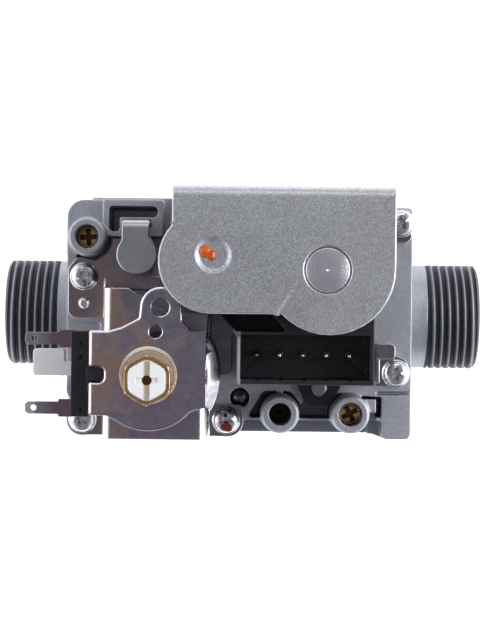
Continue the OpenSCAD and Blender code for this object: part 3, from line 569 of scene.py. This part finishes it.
def brass():
    """Turned brass, with painted shade in the recesses of the test screws."""
    s = Surface("brass", (0.60, 0.41, 0.20), metallic=1.0, roughness=0.25)
    tone = s.ramp(s.noise(2.4, 3.0, 0.55),
                  [(0.3, (0.42, 0.27, 0.115)), (0.52, (0.60, 0.41, 0.20)), (0.76, (0.74, 0.54, 0.30))])
    z = s.axes()[2]
    # Painted shade in the test screws' cross recesses
    recess = s.both(s.math("LESS_THAN", z, TAP_SCREW_TOP - 0.62),
                    s.math("GREATER_THAN", z, TAP_SCREW_TOP - 3.0))
    s.color(s.mix(s.math("MULTIPLY", recess, 0.93), tone, (0.05, 0.022, 0.010)))
    s.rough(s.between(s.noise(0.5, 3.0), 0.3, 0.7, 0.2, 0.32))
    s.bump(s.noise(0.6, 2.0, 0.5, s.scaled((0.5, 0.5, 6.0))), 0.003, 0.5)
    return s.material


def lacquer(name, deep, bright):
    s = Surface(name, bright, roughness=0.22)
    s.color(s.ramp(s.noise(1.3, 3.0, 0.6), [(0.36, deep), (0.58, bright)]))
    s.rough(s.between(s.noise(0.6, 2.0), 0.3, 0.7, 0.14, 0.3))
    s.bump(s.noise(0.8, 2.0), 0.03, 0.6)
    s.set("Coat Weight", 0.5)
    s.set("Coat Roughness", 0.1)
    return s.material


def sintered():
    s = Surface("sintered_bronze", (0.05, 0.03, 0.022), metallic=0.6, roughness=0.6)
    s.color(s.ramp(s.cells(0.18), [(0.1, (0.03, 0.018, 0.014)), (0.6, (0.08, 0.045, 0.03))]))
    s.bump(s.cells(0.18), 0.05)
    return s.material


def filter_mesh():
    """Woven wire: two sets of wires, along the strainer and round it."""
    s = Surface("filter_mesh", (0.45, 0.45, 0.44), metallic=1.0, roughness=0.35)
    x, y, z = s.axes()
    angle = s.math("ARCTAN2", s.math("SUBTRACT", z, AXIS_Z), s.math("SUBTRACT", y, AXIS_Y))
    along = s.math("SINE", s.math("MULTIPLY", x, 2 * math.pi / 0.55))
    around = s.math("SINE", s.math("MULTIPLY", angle, 92.0))
    wires = s.math("MAXIMUM", s.math("ABSOLUTE", along), s.math("ABSOLUTE", around))
    s.color(s.ramp(wires, [(0.55, (0.05, 0.05, 0.05)), (0.85, (0.52, 0.52, 0.50))]))
    s.rough(s.between(s.noise(0.8, 2.0), 0.3, 0.7, 0.3, 0.42))
    s.bump(wires, 0.1)
    return s.material


# ---- Places that several pieces share, in millimetres ---------------------------------

NUT_AXIS = (-20.5, -14.0)
EV1_AXIS = (18.14, 10.2)
YOKE_CENTRE = (-20.4, -13.0)
COUNTERSINK_R = 6.25
TAP_SCREW_TOP = 38.9
FIRST_PIN_X = 3.3
PIN_PITCH = 5.08
CONNECTOR_TOP = 69.0
# The spigots: their axis, the G 3/4 thread, its radius where it runs out at the inner end, half
# the width across its flats, and the bore
AXIS_Y = 0.5
AXIS_Z = 20.0
THREAD_LENGTH = 12.2
THREAD_PITCH = 1.814
CREST_R = 13.22
ROOT_R = 12.06
RUN_OUT_R = 12.35
FLAT = 12.35
BORE_R = 9.5
deck_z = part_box("modulator_bracket")[0].z / MM
yoke_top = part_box("modulator_yoke")[1].z / MM
half_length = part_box("body_casting")[1].x / MM
connector_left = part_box("connector_pins")[0].x / MM - 3.9

MATERIALS = {
    "cast_alloy": cast_alloy(),
    "base_alloy": cast_alloy("base_alloy", 1.1),
    "gasket_rubber": rubber(),
    "zinc_steel": zinc_steel(),
    "zinc_screws": zinc_screws(),
    "stainless": turned_steel("stainless", EV1_AXIS, (0.82, 0.765, 0.81), (0.94, 0.89, 0.925)),
    "soft_iron": metal("soft_iron", (0.34, 0.34, 0.36), (0.50, 0.50, 0.51), 1.6, (0.28, 0.42),
                       (0.3, 0.3, 5)),
    "spring_steel": metal("spring_steel", (0.42, 0.42, 0.45), (0.60, 0.60, 0.61), 0.8, (0.2, 0.36),
                          (8, 8, 8)),
    "copper_wire": copper_wire(),
    "cover_steel": cover_steel(),
    "black_nylon": moulded_black(),
    "white_nylon": white_nylon(),
    "tinned_pins": tinned_pins(),
    "brass": brass(),
    "seal_orange": lacquer("seal_orange", (0.30, 0.03, 0.008), (0.80, 0.14, 0.01)),
    "seal_red": lacquer("seal_red", (0.045, 0.004, 0.006), (0.22, 0.01, 0.012)),
    "filter_mesh": filter_mesh(),
    "sintered_bronze": sintered(),
}
SLOT_OF = {part["node"]: part["material_slot"] for part in frame["record"]["subparts"]}


def dress(obj, slot):
    obj.data.materials.clear()
    obj.data.materials.append(MATERIALS[slot])
    return obj


def stand_in(obj, node):
    """The piece replaces that CAD node: it rides on the same body, in the same material slot."""
    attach(obj, body_of(node))
    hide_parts(node)
    if not obj.data.materials or obj.data.materials[0] is None:
        dress(obj, SLOT_OF[node])
    return obj


# CAD nodes that no piece replaces stay as they are, in their materials
for node_name, node_object in NODES.items():
    node_object.data.materials.clear()
    node_object.data.materials.append(MATERIALS[SLOT_OF[node_name]])
    smooth(node_object)


# ---- Casting --------------------------------------------------------------------------


def outer_top_edge(edge):
    """Whether an edge is on the top of the casting's outside, where the die leaves it rounded."""
    places = [vert.co / MM for vert in edge.verts]
    if max(place.z for place in places) - min(place.z for place in places) > 0.01:
        return False
    if not (abs(places[0].z - deck_z) < 0.02 or abs(places[0].z - deck_z - 1.2) < 0.02):
        return False
    for place in places:
        corner_block = place.x > 32.6 and place.y < -17.8
        if not (place.x < -40.6 or place.x > 39.2 or place.y > 25.6 or corner_block):
            return False
    return edge.is_manifold and edge.calc_face_angle() > 1.2


def casting():
    bm = cad_bmesh("body_casting")
    edges = [edge for edge in bm.edges if outer_top_edge(edge)]
    bmesh.ops.bevel(bm, geom=edges, offset=0.8 * MM, segments=4, profile=0.5, affect="EDGES",
                    clamp_overlap=True)
    obj = object_from_bmesh("casting", bm)
    # The threaded ends are separate meshes
    start = half_length - THREAD_LENGTH
    for side in (-1, 1):
        low = min(side * start, side * (half_length + 2))
        high = max(side * start, side * (half_length + 2))
        boolean(obj, block("end", (low, -20, 2), (high, 20, 40)))
    remesh = obj.modifiers.new("remesh", "REMESH")
    remesh.mode = "VOXEL"
    remesh.voxel_size = 0.22 * MM
    apply_modifiers(obj)
    relax = obj.modifiers.new("relax", "SMOOTH")
    relax.factor = 0.5
    relax.iterations = 2
    reduce = obj.modifiers.new("reduce", "DECIMATE")
    reduce.ratio = 0.14
    apply_modifiers(obj)
    smooth(obj, 60)
    return stand_in(obj, "body_casting")


def thread_radius(x):
    """Radius of the thread at that distance along it: 55 degree flanks, rounded crests and roots."""
    t = abs((x / THREAD_PITCH) % 1.0 - 0.5) * 2
    rounding = 0.17
    if t < rounding:
        return CREST_R - 0.09 * (t / rounding) ** 2
    if t > 1 - rounding:
        return ROOT_R + 0.09 * ((1 - t) / rounding) ** 2
    return CREST_R - 0.09 - (CREST_R - ROOT_R - 0.18) * (t - rounding) / (1 - 2 * rounding)


def thread(side):
    """One threaded end with its flats, its chamfers and its bore."""
    around = 144
    along = 12 * 14
    start = half_length - THREAD_LENGTH
    bm = bmesh.new()
    rings = []
    for i in range(along + 1):
        x = THREAD_LENGTH * i / along
        ring = []
        for k in range(around):
            a = 2 * math.pi * k / around
            r = thread_radius(x - THREAD_PITCH * k / around)
            chamfer_r = ROOT_R - 0.5 + (THREAD_LENGTH - x) * 1.4
            run_out_r = RUN_OUT_R + x * 2.0
            r = min(r, chamfer_r, run_out_r)
            y = max(-FLAT, min(FLAT, r * math.cos(a)))
            ring.append((start + x, y, r * math.sin(a)))
        rings.append(ring)
    inside = ((half_length, BORE_R + 0.5), (half_length - 0.5, BORE_R),
              (start - 0.4, BORE_R), (start - 0.4, 11.6))
    for x, r in inside:
        rings.append([(x, r * math.cos(2 * math.pi * k / around), r * math.sin(2 * math.pi * k / around))
                      for k in range(around)])
    verts = [[bm.verts.new((side * x * MM, (y + AXIS_Y) * MM, (z + AXIS_Z) * MM)) for x, y, z in ring]
             for ring in rings]
    for low, high in zip(verts, verts[1:] + verts[:1]):
        for k in range(around):
            j = (k + 1) % around
            bm.faces.new((low[k], low[j], high[j], high[k]))
    bmesh.ops.recalc_face_normals(bm, faces=bm.faces)
    name = "inlet_thread" if side > 0 else "outlet_thread"
    obj = object_from_bmesh(name, bm)
    smooth(obj, 35)
    dress(obj, "cast_alloy")
    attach(obj, ROOT)
    return obj


casting()
thread(1)
thread(-1)


# ---- Sheet metal and moulded pieces, from the CAD shapes with rounded edges -----------


def rim(obj, centre, radius, height, width):
    """Rounds the edge of a round hole with a bevel of its own width."""
    bm = bmesh.new()
    bm.from_mesh(obj.data)
    edges = []
    for edge in bm.edges:
        places = [vert.co / MM for vert in edge.verts]
        off = [abs(math.hypot(p.x - centre[0], p.y - centre[1]) - radius) for p in places]
        level = [abs(p.z - height) for p in places]
        if max(off) < 0.04 and max(level) < 0.02:
            edges.append(edge)
    bmesh.ops.bevel(bm, geom=edges, offset=width * MM, segments=5, profile=0.5, affect="EDGES")
    bm.to_mesh(obj.data)
    bm.free()


def outer_edges(obj, width, right):
    """Rounds only the outward sharp edges that lie left of `right`, in millimetres."""
    bm = bmesh.new()
    bm.from_mesh(obj.data)
    layer = bm.edges.layers.float.new("bevel_weight_edge")
    for edge in bm.edges:
        middle = (edge.verts[0].co + edge.verts[1].co) / 2 / MM
        if edge.is_convex and edge.calc_face_angle(0) > math.radians(SHARP):
            edge[layer] = 1.0 if middle.x < right else 0.0
    bm.to_mesh(obj.data)
    bm.free()
    bevel = rounded_edges(obj, width)
    bevel.limit_method = "WEIGHT"
    bevel.harden_normals = False


def trimmed_corners(obj):
    """Trims the six corners of the adjusting screw's head."""
    boolean(obj, cylinder("trim", NUT_AXIS, 40, 80, 4.42), "INTERSECT")


# Edges of the yoke's holes: centre, radius, depth below the top face, width of the bevel
YOKE_HOLES = (
    (YOKE_CENTRE, COUNTERSINK_R, 0.0, 0.2),
    (YOKE_CENTRE, 5.5, 0.7, 0.1),
    (YOKE_CENTRE, 5.5, 1.5, 0.1),
    ((-17.9, 1.8), 1.9, 0.0, 0.4),
    ((-18.9, -3.5), 1.35, 0.0, 0.38),
)
# Where the yoke's curved right wall starts
YOKE_WALL_X = -8.6
# Width of the rounding on each piece
EDGES = {
    "coil_cover": 0.42,
    "modulator_bracket": 0.2,
    "modulator_yoke": 0.5,
    "coil_base_plate": 0.2,
    "earth_tab": 0.16,
    "pilot_plug_guard": 0.4,
    "coil_housing": 0.25,
    "modulator_bobbin": 0.2,
    "connector_key": 0.2,
    "terminal_upper": 0.1,
    "terminal_lower": 0.1,
    "base_cover": 0.5,
    "modulator_core_tube": 0.1,
    "max_adjuster_nut": 0.2,
    "min_adjuster": 0.12,
    "regulator_bonnet": 0.4,
    "pilot_plug": 0.4,
    "bracket_locating_pin": 0.2,
    "connector_rivet": 0.35,
    "connector_pins": 0.1,
}
# Pieces that look different from the rest of their slot
OWN_FINISH = {
    "pilot_plug_guard": metal("satin_steel", (0.47, 0.475, 0.49), (0.54, 0.545, 0.56), 4.0, (0.32, 0.42),
                              (2, 2, 2)),
    "modulator_core_tube": metal("tube_brass", (0.78, 0.63, 0.45), (0.90, 0.77, 0.60), 2.0, (0.38, 0.48),
                                 (1, 1, 1), 0.002),
    "terminal_upper": tab_metal("upper_tab", (0.46, 0.40, 0.46)),
    # The lower tab's white tip is a painted highlight
    "terminal_lower": tab_metal("lower_tab", (0.98, 0.98, 1.0)),
    "connector_rivet": metal("rivet_steel", (0.24, 0.25, 0.26), (0.34, 0.35, 0.36), 2.0, (0.4, 0.5),
                             (1, 1, 1)),
}
for piece_node, edge in EDGES.items():
    piece = cad_copy(piece_node)
    if piece_node == "modulator_yoke":
        for hole, hole_r, hole_depth, hole_edge in YOKE_HOLES:
            rim(piece, hole, hole_r, yoke_top - hole_depth, hole_edge)
    if piece_node == "min_adjuster":
        trimmed_corners(piece)
    if piece_node in OWN_FINISH:
        piece.data.materials.append(OWN_FINISH[piece_node])
    if piece_node == "modulator_yoke":
        outer_edges(piece, edge, YOKE_WALL_X)
    else:
        rounded_edges(piece, edge)
    stand_in(piece, piece_node)


# ---- Springs and the regulator's diaphragm, copied from the CAD shapes and smoothed ----

# Joint, height of the end that stays put, and what is left of the length at the joint's limit
SOFT = {
    "ev1_spring": ("ev1_lift", 34.95, 0.865),
    "ev2_spring": ("ev2_lift", 34.95, 0.865),
    "main_valve_spring": ("main_valve_lift", 26.45, 0.73),
    "modulator_spring": ("modulator_travel", 63.4, 0.77),
    "regulator_diaphragm": ("modulator_travel", 38.48, 0.18),
}
for piece_node, (joint, height, share) in SOFT.items():
    piece = cad_copy(piece_node)
    smooth(piece)
    stand_in(piece, piece_node)
    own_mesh(piece)


# ---- Screws ---------------------------------------------------------------------------


def cross_cutter(at, top, depth, reach, width, turn=0.0, taper=0.42):
    """A cross that tapers towards its foot, as a cross-head driver's tip does."""
    outline = []
    for quarter in range(4):
        a = math.radians(turn) + quarter * math.pi / 2
        along = (math.cos(a), math.sin(a))
        across = (-math.sin(a), math.cos(a))
        for u, v in ((reach, -width), (reach, width), (width, width)):
            outline.append((along[0] * u + across[0] * v, along[1] * u + across[1] * v))
    bm = bmesh.new()
    rings = []
    for height, size in ((top - depth, taper), (top, 1.0), (top + 1.0, 1.0)):
        rings.append([bm.verts.new(((at[0] + x * size) * MM, (at[1] + y * size) * MM, height * MM))
                      for x, y in outline])
    bm.faces.new(rings[0][::-1])
    bm.faces.new(rings[-1])
    for low, high in zip(rings, rings[1:]):
        for i in range(len(outline)):
            j = (i + 1) % len(outline)
            bm.faces.new((low[i], low[j], high[j], high[i]))
    bmesh.ops.recalc_face_normals(bm, faces=bm.faces)
    return object_from_bmesh("cutter", bm)


HEAD_TOP = 2.3
# Radius and height along the outline of a pan head
HEAD_PROFILE = [(3.3, 0), (3.3, 0.28), (3.22, 0.36), (3.02, 0.46), (2.97, 0.62), (2.95, 1.0), (2.87, 1.4),
                (2.66, 1.78), (2.28, 2.06), (1.7, 2.23), (0.9, 2.29), (0, HEAD_TOP)]


def pan_screw(at, foot, length, turn):
    """Pan-head screw with a star recess, its head standing at the height of foot."""
    profile = [(0, -length), (1.2, -length), (1.48, -length + 0.35), (1.48, 0)] + HEAD_PROFILE
    obj = lathe("screw", profile, (at[0], at[1], foot))
    boolean(obj, cross_cutter(at, foot + HEAD_TOP, 1.5, 1.75, 0.42, turn))
    boolean(obj, cross_cutter(at, foot + HEAD_TOP, 0.3, 1.35, 0.1, turn + 45))
    return obj


def screws(node, places, foot, length, turns, flipped=False):
    """All the screws of one node, each turned by its own angle, in degrees."""
    parts = []
    for place, turn in zip(places, turns):
        part = pan_screw((0, 0), 0, length, turn)
        if flipped:
            turned(part, Matrix.Rotation(math.pi, 4, "X"))
        turned(part, Matrix.Translation(Vector((place[0], place[1], foot)) * MM))
        parts.append(part)
    obj = joined(parts)
    obj.name = node + "_piece"
    smooth(obj, 32)
    return stand_in(obj, node)


def centre_of(node):
    low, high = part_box(node)
    middle = (low + high) / 2 / MM
    return middle.x, middle.y


BRACKET_SCREWS = ((-36.9, 8.9), (-36.9, -24.2), (-3.5, -24.1))
BASE_SCREWS = ((-33, 21), (-33, -20), (5, 22.5), (5, -20.5), (33, 21), (33, -20))
PLATE_TOP = 38.2
EARTH_TAB_TOP = 38.0
TOP_SCREW = 8.5
screws("bracket_screws", BRACKET_SCREWS, PLATE_TOP, TOP_SCREW, (18, 62, 8))
screws("corner_screw", (centre_of("corner_screw"),), PLATE_TOP, TOP_SCREW, (25,))
screws("earth_screw", (centre_of("earth_screw"),), EARTH_TAB_TOP, TOP_SCREW, (4,))
screws("base_screws", BASE_SCREWS, 2.6, 9.4, (10, 40, 75, 22, 58, 33), flipped=True)


def tap_screw(node, turn):
    """Brass screw deep in a test nipple, with a low crown and a wide cross recess."""
    at = centre_of(node)
    top = TAP_SCREW_TOP
    profile = [(0, 33.1), (1.1, 33.1), (1.4, 33.4), (1.4, 34.4), (2.3, 34.4), (2.62, 34.75),
               (2.62, top - 0.5), (2.5, top - 0.3), (2.1, top - 0.14), (1.3, top - 0.04), (0, top)]
    obj = lathe(node + "_piece", profile, (at[0], at[1], 0))
    boolean(obj, cross_cutter(at, top, 2.6, 1.98, 0.58, turn, 0.75))
    smooth(obj, 32)
    return stand_in(obj, node)


tap_screw("outlet_tap_screw", 4)
tap_screw("inlet_tap_screw", 28)


# ---- Winding, guide tube, sealing lacquer and ball ------------------------------------


def winding():
    """The modulator's coil, with the ridges of its outer layer of wire."""
    low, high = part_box("modulator_winding")
    bottom, top = low.z / MM, high.z / MM
    outer = (high.x - low.x) / 2 / MM
    turns = 46
    profile = [(5.87, bottom), (outer - 0.14, bottom)]
    for i in range(turns):
        for part, depth in ((0.1, 0.12), (0.35, 0.0), (0.65, 0.0), (0.9, 0.12)):
            profile.append((outer - depth, bottom + (top - bottom) * (i + part) / turns))
    profile += [(outer - 0.14, top), (5.87, top)]
    at = centre_of("modulator_winding")
    obj = lathe("modulator_winding_piece", profile, (at[0], at[1], 0), 72)
    smooth(obj, 50)
    return stand_in(obj, "modulator_winding")


def guide_tube():
    """Guide tube of the first valve: its end, turned and chamfered, shows in the cover."""
    profile = [(0, 61), (4.5, 61), (4.5, 34.5), (5, 34.5), (5, 35), (10.3, 35), (10.3, 36.9), (5, 36.9),
               (5, 74.3), (4.93, 74.45), (4.6, 74.78), (4.4, 74.85), (0.3, 74.85), (0.15, 74.78), (0, 74.7)]
    obj = lathe("ev1_guide_tube_piece", profile, (EV1_AXIS[0], EV1_AXIS[1], 0), 96)
    smooth(obj, 25)
    return stand_in(obj, "ev1_guide_tube")


def blob(node, lobes):
    """A drop of lacquer: overlapping ellipsoids, merged and smoothed."""
    parts = []
    for centre, size in lobes:
        bm = bmesh.new()
        bmesh.ops.create_uvsphere(bm, u_segments=32, v_segments=20, radius=MM)
        bmesh.ops.scale(bm, vec=size, verts=bm.verts)
        bmesh.ops.translate(bm, vec=Vector(centre) * MM, verts=bm.verts)
        parts.append(object_from_bmesh("lobe", bm))
    obj = joined(parts)
    obj.name = node + "_piece"
    remesh = obj.modifiers.new("remesh", "REMESH")
    remesh.mode = "VOXEL"
    remesh.voxel_size = 0.09 * MM
    relax = obj.modifiers.new("relax", "SMOOTH")
    relax.iterations = 5
    apply_modifiers(obj)
    smooth(obj, 80)
    return stand_in(obj, node)


def passage_ball():
    """The ball that closes the drilled passage, dark and polished."""
    low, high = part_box("passage_ball")
    bm = bmesh.new()
    bmesh.ops.create_uvsphere(bm, u_segments=48, v_segments=32, radius=(high.x - low.x) / 2)
    bmesh.ops.translate(bm, vec=(low + high) / 2, verts=bm.verts)
    obj = object_from_bmesh("passage_ball_piece", bm)
    smooth(obj, 80)
    obj.data.materials.append(
        metal("ball_steel", (0.10, 0.105, 0.11), (0.17, 0.175, 0.18), 2.5, (0.28, 0.36), (1, 1, 1)))
    return stand_in(obj, "passage_ball")


winding()
guide_tube()
blob("cover_seal_paint", (
    ((-8.15, 13.85, 74.5), (1.3, 1.35, 0.62)), ((-7.2, 13.35, 74.48), (1.25, 1.1, 0.5)),
    ((-6.75, 12.7, 74.46), (0.85, 0.85, 0.4)), ((-8.3, 14.5, 74.46), (0.8, 0.7, 0.42))))
blob("screw_seal_paint", (
    ((-3.45, -25.45, 40.25), (1.5, 1.0, 0.34)), ((-2.95, -25.9, 40.05), (1.0, 0.85, 0.36)),
    ((-4.25, -25.3, 40.2), (0.75, 0.8, 0.34)), ((-3.4, -24.9, 39.85), (1.0, 0.7, 0.6))))
passage_ball()


# ---- Stage ----------------------------------------------------------------------------


# Brightness of the room by height, from 0 at the horizon to 1 overhead, in its three directions
SKY_FRONT = ((0.0, 0.20), (0.35, 0.20), (0.7, 0.22), (1.0, 0.23))
SKY_BACK = ((0.0, 0.55), (0.35, 0.5), (0.75, 0.3), (1.0, 0.23))
SKY_SIDES = ((0.0, 1.15), (0.6, 1.15), (0.82, 0.7), (0.93, 0.3), (1.0, 0.23))
FLOOR_GLOW = 0.75
# Half the floor's width, in millimetres: far enough for low views
FLOOR_REACH = 40000
LIT_PLACE = (0, 0, 0.04)
# Name, place, size and watts of each light
LIGHTS = (
    ("left", (-0.75, 0.12, 0.55), (0.5, 0.7), 1.0),
    ("right", (0.75, 0.12, 0.50), (0.5, 0.7), 4.6),
    ("back", (0.0, 0.80, 0.75), (0.7, 0.3), 1.0),
)


def floor():
    """A pale table that glows a little, so that it stays white round the object."""
    obj = block("floor", (-FLOOR_REACH, -FLOOR_REACH, -2), (FLOOR_REACH, FLOOR_REACH, 0))
    s = Surface("floor", (0.93, 0.93, 0.935), roughness=0.8)
    s.color(s.ramp(s.noise(60.0, 2.0), [(0.3, (0.925, 0.925, 0.93)), (0.7, (0.94, 0.94, 0.945))]))
    s.shader.inputs["Emission Color"].default_value = (1, 1, 1, 1)
    s.shader.inputs["Emission Strength"].default_value = FLOOR_GLOW
    obj.data.materials.append(s.material)


def area_light(name, place, size, power):
    """A soft light that points at the middle of the object."""
    light = bpy.data.lights.new(name, "AREA")
    light.shape = "RECTANGLE"
    light.size, light.size_y = size
    light.energy = power
    obj = bpy.data.objects.new(name, light)
    bpy.context.scene.collection.objects.link(obj)
    obj.location = place
    obj.rotation_euler = (Vector(LIT_PLACE) - Vector(place)).to_track_quat("-Z", "Y").to_euler()


def sky_ramp(tree, height, levels):
    """The room's brightness at each height, slightly blue."""
    ramp = tree.nodes.new("ShaderNodeValToRGB")
    tree.links.new(height, ramp.inputs["Fac"])
    elements = ramp.color_ramp.elements
    while len(elements) < len(levels):
        elements.new(0.5)
    for element, (place, level) in zip(elements, levels):
        element.position = place
        element.color = (level * 0.98, level * 0.99, level * 1.1, 1)
    return ramp.outputs["Color"]


def sky_mix(tree, amount, first, second):
    node = tree.nodes.new("ShaderNodeMix")
    node.data_type = "RGBA"
    tree.links.new(amount, node.inputs[0])
    tree.links.new(first, node.inputs[6])
    tree.links.new(second, node.inputs[7])
    return node.outputs[2]


def lighting():
    """A room that is bright at both sides and dim overhead, in front and behind, so that flat
    tops look darker than the edges that run along them."""
    world = bpy.data.worlds.new("studio")
    bpy.context.scene.world = world
    world.use_nodes = True
    tree = world.node_tree
    background = tree.nodes["Background"]
    coords = tree.nodes.new("ShaderNodeTexCoord")
    split = tree.nodes.new("ShaderNodeSeparateXYZ")
    tree.links.new(coords.outputs["Generated"], split.inputs[0])
    sideways = tree.nodes.new("ShaderNodeMath")
    sideways.operation = "ABSOLUTE"
    tree.links.new(split.outputs["X"], sideways.inputs[0])
    amount = tree.nodes.new("ShaderNodeMapRange")
    amount.interpolation_type = "SMOOTHSTEP"
    tree.links.new(sideways.outputs[0], amount.inputs["Value"])
    amount.inputs["From Min"].default_value = 0.3
    amount.inputs["From Max"].default_value = 0.8
    behind = tree.nodes.new("ShaderNodeMapRange")
    behind.interpolation_type = "SMOOTHSTEP"
    tree.links.new(split.outputs["Y"], behind.inputs["Value"])
    behind.inputs["From Min"].default_value = -0.25
    behind.inputs["From Max"].default_value = 0.35
    ends = sky_mix(tree, behind.outputs["Result"], sky_ramp(tree, split.outputs["Z"], SKY_FRONT),
                   sky_ramp(tree, split.outputs["Z"], SKY_BACK))
    sky = sky_mix(tree, amount.outputs["Result"], ends, sky_ramp(tree, split.outputs["Z"], SKY_SIDES))
    tree.links.new(sky, background.inputs["Color"])
    background.inputs["Strength"].default_value = 1.0
    for name, place, size, power in LIGHTS:
        area_light(name, place, size, power)


def camera():
    """Straight above, turned a little, as the valve lies in its picture."""
    data = bpy.data.cameras.new("camera")
    data.sensor_width = 36.0
    data.lens = 108.96
    data.clip_start = 0.01
    obj = bpy.data.objects.new("camera", data)
    bpy.context.scene.collection.objects.link(obj)
    obj.location = (0, 0.0006, 0.480)
    obj.rotation_euler = (0, 0, math.radians(0.7))
    bpy.context.scene.camera = obj


floor()
lighting()
camera()
bpy.context.scene.view_settings.view_transform = "Standard"
bpy.context.scene.view_settings.look = "None"
